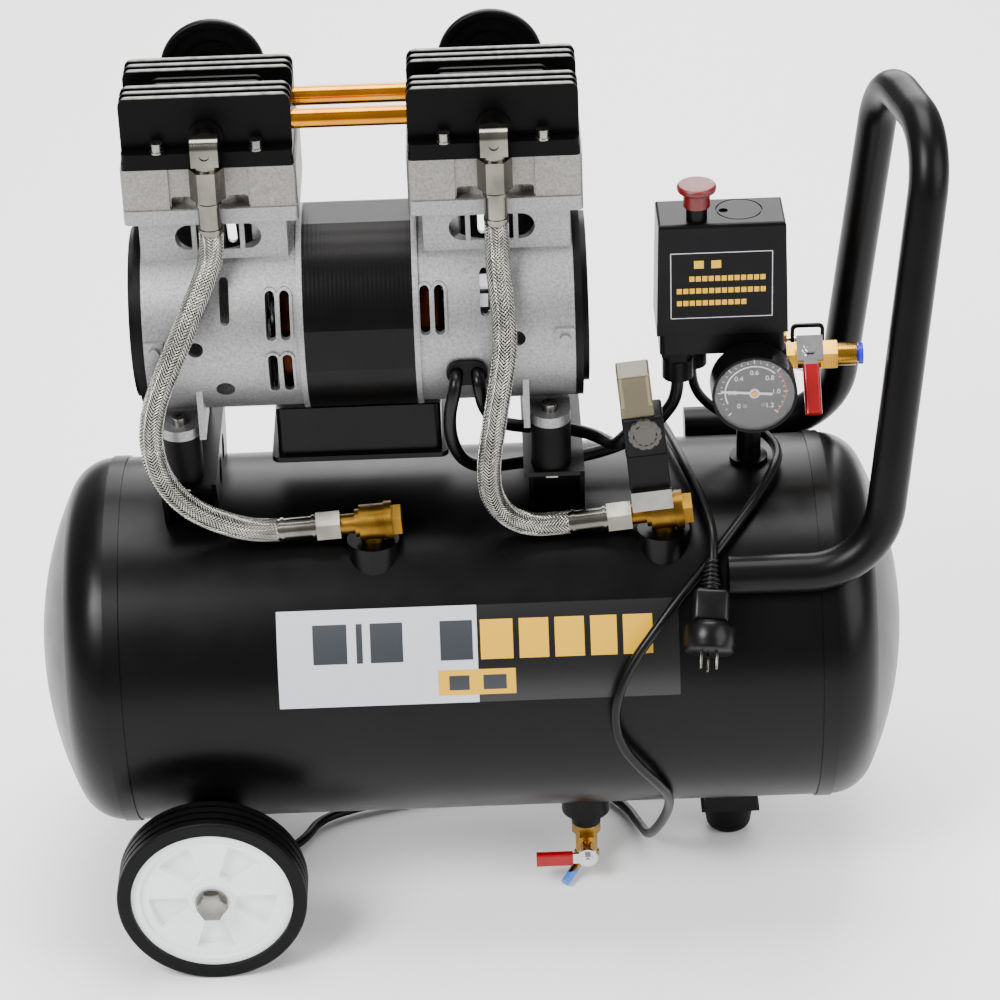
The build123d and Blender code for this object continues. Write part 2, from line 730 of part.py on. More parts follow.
def cap_screw(x, y, seat_z, head_radius, head_height_mm, shank_radius, length):
    screw = rod_z(head_radius, seat_z, seat_z + head_height_mm, x, y)
    socket = Pos(x, y, seat_z + head_height_mm - 2.5) * hexagon(head_radius, 4)
    return screw - socket + rod_z(shank_radius, seat_z - length, seat_z, x, y)


def make_screws():
    screws = []
    ledge = lip_bottom_z + lip_height + block_height + plate_height + flange_height
    for side in (-1, 1):
        x = motor_mid_x + side * cylinder_offset
        for place in head_screw_places(x):
            washer = rod_z(4.6, ledge, ledge + 1, *place) - rod_z(2.6, ledge - 1, ledge + 2, *place)
            screws.append(washer)
            screws.append(cap_screw(*place, ledge + 1, 3.9, 5.5, 2.5, flange_height + 1))
        foot_x = motor_mid_x + side * mount_span_x
        top = saddle_top_z + mount_height + 7
        for y in (-mount_y, mount_y):
            screws.append(cap_screw(foot_x, y, top, 5, 5, 4.1, mount_height + 14))
            nut = hex_z(13, saddle_top_z - sheet - 6, saddle_top_z - sheet, foot_x, y)
            screws.append(nut - rod_z(4.1, 280, 330, foot_x, y))
    keep("socket_screws", *screws)


# ---------------------------------------------------------------- hoses and valves


def tilted(side, piece):
    """Turn a check-valve piece about its upright port so the far end is higher."""
    pivot = Pos(valve_x[side], valve_y, bung_top_z)
    return pivot * Rot(0, -valve_tilt[side], 0) * Pos(-valve_x[side], -valve_y, -bung_top_z) * piece


def make_valves():
    bodies = []
    fittings = []
    for side, x in valve_x.items():
        y = valve_y
        z = valve_z
        body = rod_x(valve_radius, x - 7, x + 9, y, z) + rod_x(6.5, x - 20, x - 5, y, z)
        body += rod_x(12.5, x + 9, x + 14, y, z) + hex_x(19, x + 14, x + 20, y, z)
        body += rod_x(9, x - 10, x - 5, y, z)
        body += rod_z(7.4, bung_top_z - 3, z, x, y)
        body -= rod_x(7.5, x - 3, x + 13, y, z) + rod_x(3.5, x - 25, x, y, z)
        body -= rod_z(4, bung_top_z - 4, z, x, y)
        body = tilted(side, body)
        bodies.append(body - block(x - 20, x + 20, y - 20, y + 20, bung_top_z - 10, bung_top_z))
        plug = rod_x(6.9, x - 2.9, x + 1, y, z) + rod_x(2.5, x + 1, x + 6, y, z)
        keep("check_poppet_" + side, tilted(side, plug))
        nut = hex_x(18, x - 35, x - 19.5, y, z) - rod_x(6.5, x - 20, x - 10, y, z)
        barrel = rod_x(ferrule_radius, x - 60, x - 35, y, z) + rod_x(8, x - 38, x - 36, y, z)
        barrel += rod_x(8, x - 58, x - 56, y, z)
        fittings += [tilted(side, nut), tilted(side, barrel)]
    for side in (-1, 1):
        x = motor_mid_x + side * cylinder_offset
        nut = hex_z(19, 521.5, outlet_z - 13.5, x, elbow_y) - rod_z(7.5, 534, 545, x, elbow_y)
        barrel = rod_z(ferrule_radius, 498, 521.5, x, elbow_y)
        barrel += rod_z(8, 517.5, 519.5, x, elbow_y) + rod_z(8, 500, 502, x, elbow_y)
        fittings += [nut, barrel]
    keep("check_valves", *bodies)
    keep("hose_fittings", *fittings)


def hose_end(side):
    """Where a hose meets its crimped ferrule at the check valve."""
    angle = math.radians(valve_tilt[side])
    reach = 60.0
    rise = valve_z - bung_top_z
    x = valve_x[side] - reach * math.cos(angle) - rise * math.sin(angle)
    z = bung_top_z + rise * math.cos(angle) - reach * math.sin(angle)
    run = (math.cos(angle), math.sin(angle))
    return (x, valve_y, z), (x - 14 * run[0], valve_y, z - 14 * run[1])


def make_hoses():
    left_x = motor_mid_x - cylinder_offset
    end, before = hose_end("left")
    left = [
        (left_x, elbow_y, 498), (left_x, elbow_y, 486), (-155.5, -57, 471),
        (-166, -68, 452), (-174.5, -74, 434), (-184.5, -78, 414), (-193, -80, 393),
        (-197, -80.5, 371), (-195, -79, 349.5), (-189, -77, 332.5), (-178, -73.5, 316),
        (-161, -69, 302), before, end,
    ]
    right_x = motor_mid_x + cylinder_offset
    end, before = hose_end("right")
    right = [
        (right_x, elbow_y, 498), (right_x, elbow_y, 486), (25.8, -57.5, 470),
        (28, -67, 450), (29.1, -73, 431), (27, -77, 411), (23, -79.5, 390), (19.2, -81, 367),
        (15.3, -80, 343), (16, -76.5, 319), (24, -71.5, 301), (38, -67.5, 290.5), before, end,
    ]
    keep("hose_left", tube(left, hose_radius, "hose_left"))
    keep("hose_right", tube(right, hose_radius, "hose_right"))


def make_solenoid():
    """Unloader valve, coil and plug connector standing on the right check valve."""
    x = valve_x["right"] - 5
    y = valve_y - 4
    low = valve_z + valve_radius
    stem = rod_z(5, valve_z + 5, low + 2, x, valve_y)
    stem -= rod_x(valve_radius, x - 60, x + 60, valve_y, valve_z)
    body = block(x - 13, x + 13, y - 15, y + 13, low + 1, low + 15) + stem
    keep("solenoid_body", tilted("right", body))
    coil = block(x - 13, x + 13, y - 11, y + 13, low + 15, low + 39)
    keep("solenoid_coil", tilted("right", fillet(coil.edges().filter_by(Axis.Z), 1.5)))
    head = block(x - 13.5, x + 13.5, y - 12, y + 12, low + 39, low + 67)
    head = fillet(head.edges().filter_by(Axis.Z), 2)
    knob = Pos(x, y - 12, low + 52) * Rot(90, 0, 0) * Cylinder(10.8, 4)
    for i in range(12):
        angle = math.radians(i * 30)
        notch = rod_y(1.3, y - 20, y - 5, x + 11.2 * math.cos(angle), low + 52 + 11.2 * math.sin(angle))
        knob -= notch
    window = block(x - 13, x + 13, y - 11, y + 11, low + 67, low + 97)
    window = fillet(window.edges().filter_by(Axis.Z), 2)
    keep("solenoid_connector", tilted("right", head + knob), tilted("right", window))


# ---------------------------------------------------------------- pressure switch group


def make_manifold():
    x = column_x
    z = column_z
    low = tank_axis_z + tank_radius + 3
    body = rod_z(8, low, z, x, 0) + rod_z(11, z - 26, switch_base_z, x, 0)
    body += rod_y(10, gauge_face_y + gauge_depth + 6, 0, x, gauge_z)
    body += rod_x(9.5, x, x + 24, 0, z)
    body += block(x - 12, x + 12, -12, 27, z - 12, z + 12)
    body -= rod_z(4, low - 1, switch_base_z + 1, x, 0)
    body -= rod_x(6, x, x + 30, 0, z)
    body -= rod_x(4, x + 2, x + 20, safety_y, z + 2)
    keep("manifold", body)

    y = safety_y
    z += 2
    valve = rod_x(4, x + 4, x + 12, y, z) + hex_x(13, x + 12, x + 18, y, z)
    valve += rod_x(5.5, x + 18, x + 26, y, z)
    valve -= rod_x(1.5 + running_gap, x + 2, x + 40, y, z)
    keep("safety_valve", valve)
    ring_x = x + 39.0
    ring_z = z - 11.6
    loop = rod_y(12.5, y - 0.9, y + 0.9, ring_x, ring_z)
    loop -= rod_y(10.7, y - 5, y + 5, ring_x, ring_z)
    keep("safety_ring", rod_x(1.5, x + 6, ring_x + 2, y, z) + loop)


def make_gauge():
    x = column_x
    z = gauge_z
    back = gauge_face_y + gauge_depth
    face = gauge_face_y
    case = rod_y(gauge_radius, face, back, x, z) - rod_y(gauge_radius - 1.8, face - 1, back - 2, x, z)
    case += rod_y(5, back, back + 6, x, z) - rod_y(2.5, back, back + 7, x, z)
    keep("gauge_case", case)
    dial = rod_y(gauge_radius - 1.9, face + 5, face + 6, x, z)
    dial -= rod_y(1.0 + running_gap, face, face + 10, x, z)
    keep("gauge_dial", dial)
    keep("gauge_lens", rod_y(gauge_radius - 1.9, face + 0.6, face + 2.2, x, z))
    pin = rod_y(1.0, face + 3.6, face + 9, x, z) + rod_y(3.2, face + 2.8, face + 4, x, z)
    arm = Rot(0, 5, 0) * block(-21.5, 11.5, -0.4, 0.4, -0.7, 0.7)
    keep("gauge_needle", pin + Pos(x, face + 3.6, z) * arm)


def make_switch():
    x0 = switch_x - switch_half_width
    x1 = switch_x + switch_half_width
    base = block(x0 + 2, x1 - 2, switch_front_y + 2, switch_back_y - 2, switch_base_z, switch_split_z)
    base = fillet(base.edges().filter_by(Axis.Z), 3)
    base -= rod_z(4, switch_base_z - 1, switch_base_z + 8, column_x, 0)
    keep("switch_base", base)

    low = Pos(switch_x, (switch_front_y + switch_back_y) / 2, switch_split_z)
    deep = switch_back_y - switch_front_y
    outer = low * Rectangle(2 * switch_half_width, deep)
    cover = extrude(outer, switch_top_z - switch_split_z, taper=1.2)
    cover = fillet(cover.edges().group_by(Axis.Z)[-1], 2.5)
    hollow = low * Rectangle(2 * switch_half_width - 5, deep - 5)
    cover -= extrude(hollow, switch_top_z - switch_split_z - 3, taper=1.2)
    cover += rod_z(6.7, switch_top_z - 4, switch_top_z + 8, knob_x, knob_y)
    cover -= rod_z(3.3, switch_top_z - 20, switch_top_z + 20, knob_x, knob_y)
    emblem_x = 180.0
    ring = rod_z(15, switch_top_z - 0.8, switch_top_z + 1, emblem_x, -2)
    cover -= ring - rod_z(14, switch_top_z - 2, switch_top_z + 2, emblem_x, -2)
    cover -= rod_z(3, switch_top_z - 1.5, switch_top_z + 1, emblem_x - 10, -3)
    keep("switch_cover", cover)

    top = switch_top_z + 24
    knob = rod_z(12.5, top - 5, top, knob_x, knob_y)
    knob = fillet(knob.edges().filter_by(GeomType.CIRCLE), 2)
    skirt = rod_z(8.5, top - 15, top - 4, knob_x, knob_y)
    knob += skirt - rod_z(6.8, top - 16, top - 7, knob_x, knob_y)
    knob += rod_z(3.2, switch_top_z - 8, top - 4, knob_x, knob_y)
    keep("switch_knob", knob)

    glands = []
    for x, y in gland_places():
        gland = hex_z(18, switch_base_z - 8, switch_base_z, x, y)
        gland += rod_z(10, switch_base_z - 22, switch_base_z - 8, x, y)
        bore = motor_lead_radius if y < 0 else mains_radius
        glands.append(gland - rod_z(bore, switch_base_z - 30, switch_base_z + 1, x, y))
    grommet = slot_y(0, 0, 17, 26, -3, 3)
    grommet = Pos(grommet_x(), -housing_radius + 1.5, grommet_z()) * Rot(0, 90, 0) * grommet
    for lead_x in lead_exits():
        grommet -= rod_y(motor_lead_radius, -80, -40, lead_x, grommet_z())
    glands.append(grommet - rod_x(housing_radius, -50, 80, 0, motor_axis_z))
    keep("cable_glands", *glands)


def gland_places():
    return [(140.0, -10.0), (150.0, 7.0)]


def grommet_x():
    return 4.0


def grommet_z():
    return motor_axis_z - 19.0


def lead_exits():
    return (grommet_x() - 6.5, grommet_x() + 6.5)


def make_outlet():
    x = outlet_x
    z = column_z
    body = hex_x(17, x, x + 7, 0, z) + rod_x(8.5, x + 7, x + 22, 0, z)
    body += hex_x(18, x + 22, x + 33, 0, z) + rod_x(7.4, x + 33, x + 45.5, 0, z)
    body += rod_x(6, x - 10, x, 0, z)
    turn = Pos(x + 14.5, 0, z) * Rot(90 - lever_tilt, 0, 0)
    body += turn * Pos(0, 0, 10) * Cylinder(5, 10)
    body -= rod_x(push_tube_radius, x - 12, x + 60, 0, z)
    body -= rod_x(5.2, x + 36, x + 60, 0, z)
    body -= turn * Pos(0, 0, 13) * Cylinder(2.5 + running_gap, 12)
    keep("outlet_valve", body)

    plate = Box(17, 17, 1.6) + Pos(0, -16, 0) * Box(9, 20, 1.6)
    stud = Pos(0, 0, -1) * Cylinder(2.5, 15) + Pos(0, 0, 2.8) * hexagon(8, 3.5)
    sleeve = Pos(0, -28, 0) * Box(11, 33, 5.5)
    sleeve = fillet(sleeve.edges().filter_by(Axis.Y), 2.2)
    sleeve -= Pos(0, -16, 0) * Box(9, 20, 1.6)
    seat = turn * Pos(0, 0, 16)
    keep("outlet_lever", seat * (plate + stud), seat * sleeve)

    end = collet_end_x
    collet = rod_x(5.1, x + 38, end, 0, z) + rod_x(7.0, end - 3, end, 0, z)
    keep("release_collet", collet - rod_x(push_tube_radius, x + 30, end + 5, 0, z))

    strap = block(x + 4, x + 26, 10.6, 12.6, z - 2, z + 17)
    strap = fillet(strap.edges().filter_by(Axis.Y), 4)
    hole = block(x + 6.4, x + 23.6, 5, 15, z + 0.4, z + 14.6)
    strap -= fillet(hole.edges().filter_by(Axis.Y), 2)
    keep("cable_tie", strap + block(x + 12, x + 17, 8.6, 13, z - 2.5, z + 2.5))


def make_drain():
    x = drain_x
    y = drain_y
    body = hex_z(17, 30, 39, x, y) + rod_z(7.5, 12, 30, x, y) + hex_z(15, 9.5, 14, x, y)
    z = drain_stem_z
    seat = y - drain_lever_reach
    body += rod_y(4.5, seat + 1.5, y, x, z)
    route = Vector(-16, -24, -8.5)
    upward = (Align.CENTER, Align.CENTER, Align.MIN)
    stub = Plane(origin=(x, y, 13), z_dir=route).location * Cylinder(3.0, route.length, align=upward)
    body -= rod_y(2 + running_gap, seat - 5, seat + 12, x, z)
    keep("drain_valve", body, stub - body)
    plate = rod_y(7, seat - 1.8, seat, x, z) + block(x - 18, x, seat - 1.8, seat, z - 4, z + 4)
    plate += rod_y(2, seat - 6, seat + 10, x, z)
    plate += Pos(x, seat - 1.8, z) * Rot(90, 0, 0) * hexagon(6.5, 3)
    sleeve = block(x - 35, x - 10, seat - 4, seat + 2, z - 5, z + 5)
    sleeve = fillet(sleeve.edges().filter_by(Axis.X), 2)
    keep("drain_lever", plate, sleeve - block(x - 18, x, seat - 1.8, seat, z - 4, z + 4))


# ---------------------------------------------------------------- electrics


def make_capacitor_box():
    box = block(-120, -14, -38, 38, 331, 365)
    box = fillet(box.edges().filter_by(Axis.Z), 5)
    foot = block(-124, -10, -42, 42, 328, 331.5)
    box += fillet(foot.edges().filter_by(Axis.Z), 6)
    box -= rod_x(stator_radius, -200, 100, 0, motor_axis_z)
    keep("capacitor_box", box)


def make_leads():
    z = grommet_z()
    left_exit, right_exit = lead_exits()
    gland = gland_places()[0]
    first = [
        (left_exit, -59.0, z), (left_exit, -71.0, z), (-5, -75, z - 11), (-8, -73, 376),
        (-8, -68, 358), (-4, -60, 340), (4, -47, 324.5), (16, -32, 313.5), (31, -20, 308.8),
        (49, -16.2, 308), (68, -15.8, 308.6), (86, -13.5, 310.5), (104, -10.5, 315), (120, -8.5, 323),
        (132, -8.5, 335), (gland[0], gland[1], 350), (gland[0], gland[1], 364),
    ]
    second = [
        (right_exit, -59.0, z), (right_exit, -70.0, z), (12, -72, z - 11), (13.5, -67.5, 379),
        (17, -59, 367), (24, -48, 355), (36, -34.5, 344.5), (51, -24.5, 337.5), (67, -21, 334),
        (83, -26, 332), (93, -38, 332.5), (97, -51, 337), (100, -61, 346), (106, -66, 355),
    ]
    connector = nodes["solenoid_connector"][0]
    coil = nodes["solenoid_coil"][0]
    lead = tube(second, motor_lead_radius, "solenoid_lead") - connector - coil
    keep("motor_leads", tube(first, motor_lead_radius, "motor_lead"), lead)


def make_mains():
    gland = gland_places()[1]
    route = [
        (gland[0], gland[1], 364), (150, 7, 352), (155, 11, 337), (167, 17, 322), (184, 20, 311),
        (200, 14, 304.5), (207, -4, 302), (202, -26, 301), (188, -50, 293), (170, -72, 281),
        (153, -90, 268),
        (135, -103, 253), (119, -114, 236), (104, -122, 218), (94, -128, 199), (90, -130.5, 178),
        (95, -130, 157), (107, -126, 137), (119, -117, 118), (127, -102, 97), (128, -85, 76),
        (124, -68, 52), (119, -50, 31), (116, -30, 14), (112, -6, 5), (103, 20, 4), (84, 42, 4),
        (54, 56, 4), (18, 58, 4), (-18, 50, 4), (-54, 38, 4), (-90, 28, 4), (-114, 15, 4),
        (-122, -6, 4), (-138, -22, 4), (-160, -18, 4), (-175, 1, 4), (-176, 26, 4), (-162, 48, 4),
        (-136, 64, 4), (-98, 76, 4), (-52, 86, 4), (-6, 94, 4), (38, 104, 4), (70, 118, 9),
        (86, 129, 30), (96, 136, 66), (103, 137, 108), (112, 137, 152), (118, 135, 194),
        (122, 127, 226), (127, 109, 252), (130, 86, 275), (132, 60, 292), (134, 34, 300.5),
        (138, 6, 304), (144, -22, 302.5), (151, -46, 296.5), (156, -67, 291), (158, -85, 283.5),
        (156.8, -94, 274.5),
    ]
    keep("mains_lead", tube(route, mains_radius, "mains_lead"))

    # The moulded plug lies against the tank's front shoulder.
    aim = Vector(*route[-1]) - Vector(*route[-2])
    at = Plane(origin=route[-1], x_dir=(1, 0, -0.04), z_dir=aim).location
    relief = at * Pos(0, 0, 10) * Cone(4.6, 7.2, 20)
    neck = at * Pos(0, 0, 31) * Box(23, 17, 22)
    body = at * Pos(0, 0, 52) * Cylinder(17, 20)
    pins = [at * Pos(dx, dy, 68) * Box(6, 2, 13) for dx, dy in ((-6, 4), (6, 4), (0, -6))]
    keep("mains_plug", relief + neck + body, *pins)


make_tank()
make_saddles()
make_base()
make_wheels()
make_handle()
make_stator()
make_crank()
make_rods()
make_housings()
make_cylinders()
make_head_fittings()
make_screws()
make_valves()
make_hoses()
make_solenoid()
make_manifold()
make_gauge()
make_switch()
make_outlet()
make_drain()
make_capacitor_box()
make_leads()
make_mains()

# The origin is the middle of the object's footprint on the floor, free lead aside.
held = [solid for name, solids in nodes.items() if name not in cord_nodes for solid in solids]
outline = Compound(held).bounding_box()
shift = Pos(-outline.center().X, -outline.center().Y, 0)
print("middle", round(outline.center().X, 6), round(outline.center().Y, 6))
print("lowest", round(outline.min.Z, 5))

os.makedirs("parts", exist_ok=True)
for name, solids in nodes.items():
    export_step(Compound([shift * solid for solid in solids]), "parts/" + name + ".step")
print(len(nodes), "nodes")
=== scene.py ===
import bpy
import bmesh
import math
from mathutils import Matrix, Vector


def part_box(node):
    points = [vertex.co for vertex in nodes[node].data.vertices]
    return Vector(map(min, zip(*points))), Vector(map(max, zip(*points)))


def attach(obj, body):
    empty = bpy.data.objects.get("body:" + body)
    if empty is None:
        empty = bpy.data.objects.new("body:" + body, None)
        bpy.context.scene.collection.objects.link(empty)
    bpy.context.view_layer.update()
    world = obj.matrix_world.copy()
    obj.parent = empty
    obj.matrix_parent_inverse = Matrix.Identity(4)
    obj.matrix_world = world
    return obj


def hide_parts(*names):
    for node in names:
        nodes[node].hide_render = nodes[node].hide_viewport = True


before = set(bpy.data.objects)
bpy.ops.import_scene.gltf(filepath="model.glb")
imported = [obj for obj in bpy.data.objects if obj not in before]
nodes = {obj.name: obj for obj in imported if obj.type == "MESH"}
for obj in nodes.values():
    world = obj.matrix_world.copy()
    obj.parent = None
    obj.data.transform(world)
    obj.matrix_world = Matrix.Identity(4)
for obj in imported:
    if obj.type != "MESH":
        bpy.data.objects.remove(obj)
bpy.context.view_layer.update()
print("frame loaded with", len(nodes), "nodes")

# Every size below is in millimetres from the tank's middle, with the floor at zero.
tankLow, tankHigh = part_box("tank_shell")
tankMiddle = (tankLow.x + tankHigh.x) / 2
tankAxisHeight = 172.0


def place(x, y, z):
    return Vector((tankMiddle + x / 1000, y / 1000, z / 1000))


# Materials.

def toLinear(hexColour):
    channels = [int(hexColour[i:i + 2], 16) / 255 for i in (1, 3, 5)]
    return [c / 12.92 if c <= 0.04045 else ((c + 0.055) / 1.055) ** 2.4 for c in channels] + [1.0]


def addNode(tree, kind, links=(), **settings):
    node = tree.nodes.new(kind)
    for name, value in settings.items():
        setattr(node, name, value)
    for socket, source in links:
        if hasattr(source, "is_output"):
            tree.links.new(source, node.inputs[socket])
        else:
            node.inputs[socket].default_value = source
    return node


def startMaterial(name, base, metallic=0.0, roughness=0.5, **shaderValues):
    material = bpy.data.materials.new(name)
    material.use_nodes = True
    tree = material.node_tree
    shader = tree.nodes["Principled BSDF"]
    shader.inputs["Base Color"].default_value = toLinear(base)
    shader.inputs["Metallic"].default_value = metallic
    shader.inputs["Roughness"].default_value = roughness
    for socket, value in shaderValues.items():
        shader.inputs[socket.replace("_", " ")].default_value = value
    coordinates = addNode(tree, "ShaderNodeTexCoord").outputs["Object"]
    return material, tree, shader, coordinates


def addNoise(tree, coordinates, size, detail):
    return addNode(tree, "ShaderNodeTexNoise",
                   [("Vector", coordinates), ("Scale", 1000.0 / size), ("Detail", detail)])


def grainBump(tree, shader, coordinates, grainSize, height, strength=0.5, detail=2.0, normal=None):
    grain = addNoise(tree, coordinates, grainSize, detail)
    links = [("Height", grain.outputs["Fac"]), ("Distance", height / 1000), ("Strength", strength)]
    if normal is not None:
        links.append(("Normal", normal))
    bump = addNode(tree, "ShaderNodeBump", links)
    tree.links.new(bump.outputs["Normal"], shader.inputs["Normal"])
    return grain, bump


def blotches(tree, shader, coordinates, size, dark, light, spread=(0.35, 0.65)):
    patches = addNoise(tree, coordinates, size, 4.0)
    ramp = addNode(tree, "ShaderNodeValToRGB", [("Fac", patches.outputs["Fac"])])
    ramp.color_ramp.elements[0].position = spread[0]
    ramp.color_ramp.elements[1].position = spread[1]
    ramp.color_ramp.elements[0].color = toLinear(dark)
    ramp.color_ramp.elements[1].color = toLinear(light)
    tree.links.new(ramp.outputs["Color"], shader.inputs["Base Color"])
    return ramp


def roughnessRange(tree, shader, coordinates, size, low, high):
    patches = addNoise(tree, coordinates, size, 3.0)
    spread = addNode(tree, "ShaderNodeMapRange",
                     [("Value", patches.outputs["Fac"]), ("To Min", low), ("To Max", high)])
    tree.links.new(spread.outputs["Result"], shader.inputs["Roughness"])


def waveBump(tree, coordinates, pitch, distortion, depth, axis):
    # Fine parallel lines, one to each pitch.
    waves = addNode(tree, "ShaderNodeTexWave",
                    [("Vector", coordinates), ("Scale", 1000.0 / pitch / 6.3), ("Distortion", distortion)],
                    bands_direction=axis)
    return addNode(tree, "ShaderNodeBump",
                   [("Height", waves.outputs["Fac"]), ("Distance", depth / 1000), ("Strength", 0.35)])


def powderCoat(name, dark, light, roughness):
    # Baked polyester powder: a satin skin with fine orange peel.
    material, tree, shader, coordinates = startMaterial(name, light, 0.0, roughness,
                                                        Specular_IOR_Level=0.14)
    blotches(tree, shader, coordinates, 60, dark, light)
    grainBump(tree, shader, coordinates, 1.6, 0.06, 0.4, 3.0)
    roughnessRange(tree, shader, coordinates, 25, roughness - 0.06, roughness + 0.08)
    return material


def blastedAluminium(name, dark, light, grainSize=0.9):
    # Sand cast and shot blasted: pale grey, no gloss, fine pits and darker hollows.
    material, tree, shader, coordinates = startMaterial(name, light, 0.85, 0.48)
    blotches(tree, shader, coordinates, 1.6, dark, light, (0.3, 0.7))
    grainBump(tree, shader, coordinates, grainSize, 0.10, 0.6, 4.0)
    roughnessRange(tree, shader, coordinates, 9, 0.42, 0.54)
    return material


def turnedMetal(name, dark, light, roughness, lineSize=0.6, axis="X"):
    # Turned bar: fine tool rings round the axis and small changes of polish.
    material, tree, shader, coordinates = startMaterial(name, light, 1.0, roughness)
    blotches(tree, shader, coordinates, 25, dark, light)
    bump = waveBump(tree, coordinates, lineSize, 1.5, 0.04, axis)
    tree.links.new(bump.outputs["Normal"], shader.inputs["Normal"])
    roughnessRange(tree, shader, coordinates, 12, roughness - 0.03, roughness + 0.05)
    return material


def mouldedPlastic(name, dark, light, roughness, grainSize=0.7, height=0.05, **shaderValues):
    # Injection moulding: even colour, faint spark grain from the mould.
    material, tree, shader, coordinates = startMaterial(name, light, 0.0, roughness, **shaderValues)
    blotches(tree, shader, coordinates, 30, dark, light)
    grainBump(tree, shader, coordinates, grainSize, height, 0.5, 2.0)
    roughnessRange(tree, shader, coordinates, 12, roughness - 0.05, roughness + 0.07)
    return material


def headPaint(name, topHeight):
    # Black stove paint on a rough casting, with a painted highlight: a pale band along the fin tops, broken
    # up by noise.
    material, tree, shader, coordinates = startMaterial(name, "#050505", 0.0, 0.4, Specular_IOR_Level=0.07)
    split = addNode(tree, "ShaderNodeSeparateXYZ", [("Vector", coordinates)])
    # Painted highlight: surfaces within 1 mm of the head's top height mix to pale grey, patchy by noise.
    edge = addNode(tree, "ShaderNodeMapRange",
                   [("Value", split.outputs["Z"]), ("From Min", topHeight - 0.0010),
                                               ("From Max", topHeight - 0.0002)])
    highlightNoise = addNode(tree, "ShaderNodeTexNoise", [("Vector", coordinates), ("Scale", 160.0), ("Detail", 4.0)])
    paintedHighlight = addNode(tree, "ShaderNodeMath", [(0, edge.outputs["Result"]), (1, highlightNoise.outputs["Fac"])],
                  operation="MULTIPLY")
    mix = addNode(tree, "ShaderNodeMix", [("Factor", paintedHighlight.outputs["Value"])], data_type="RGBA")
    mix.inputs["A"].default_value = toLinear("#040404")
    mix.inputs["B"].default_value = toLinear("#b9b8b4")
    tree.links.new(mix.outputs["Result"], shader.inputs["Base Color"])
    grainBump(tree, shader, coordinates, 1.1, 0.14, 0.6, 3.0)
    return material


def laminations(name):
    # Stacked steel sheets painted black: fine lines across the stack.
    material, tree, shader, coordinates = startMaterial(name, "#050505", 0.0, 0.3, Specular_IOR_Level=0.12)
    bump = waveBump(tree, coordinates, 1.4, 0.2, 0.06, "X")
    grainBump(tree, shader, coordinates, 1.5, 0.03, 0.3, 2.0, bump.outputs["Normal"])
    blotches(tree, shader, coordinates, 30, "#030303", "#060607")
    return material


def wovenSteel(name):
    # Stainless wire, drawn and woven: bright strands over dark gaps.
    material, tree, shader, coordinates = startMaterial(name, "#a9a8a2", 1.0, 0.25)
    blotches(tree, shader, coordinates, 12, "#97968f", "#b4b3ac")
    grainBump(tree, shader, coordinates, 1.0, 0.01, 0.2, 1.0)
    return material


def printedInk(name, colour, roughness=0.45):
    # Screen ink: thin, even and slightly glossy.
    material, tree, shader, coordinates = startMaterial(name, colour, 0.0, roughness)
    grainBump(tree, shader, coordinates, 0.6, 0.02, 0.3, 2.0)
    return material


def clearPlastic(name, tint, roughness, transmission):
    # Moulded polycarbonate, clear enough to show what is behind it.
    material, tree, shader, coordinates = startMaterial(name, tint, 0.0, roughness,
                                                        Transmission_Weight=transmission, IOR=1.45,
                                                          Specular_IOR_Level=0.12)
    grainBump(tree, shader, coordinates, 4.0, 0.03, 0.2, 1.0)
    return material


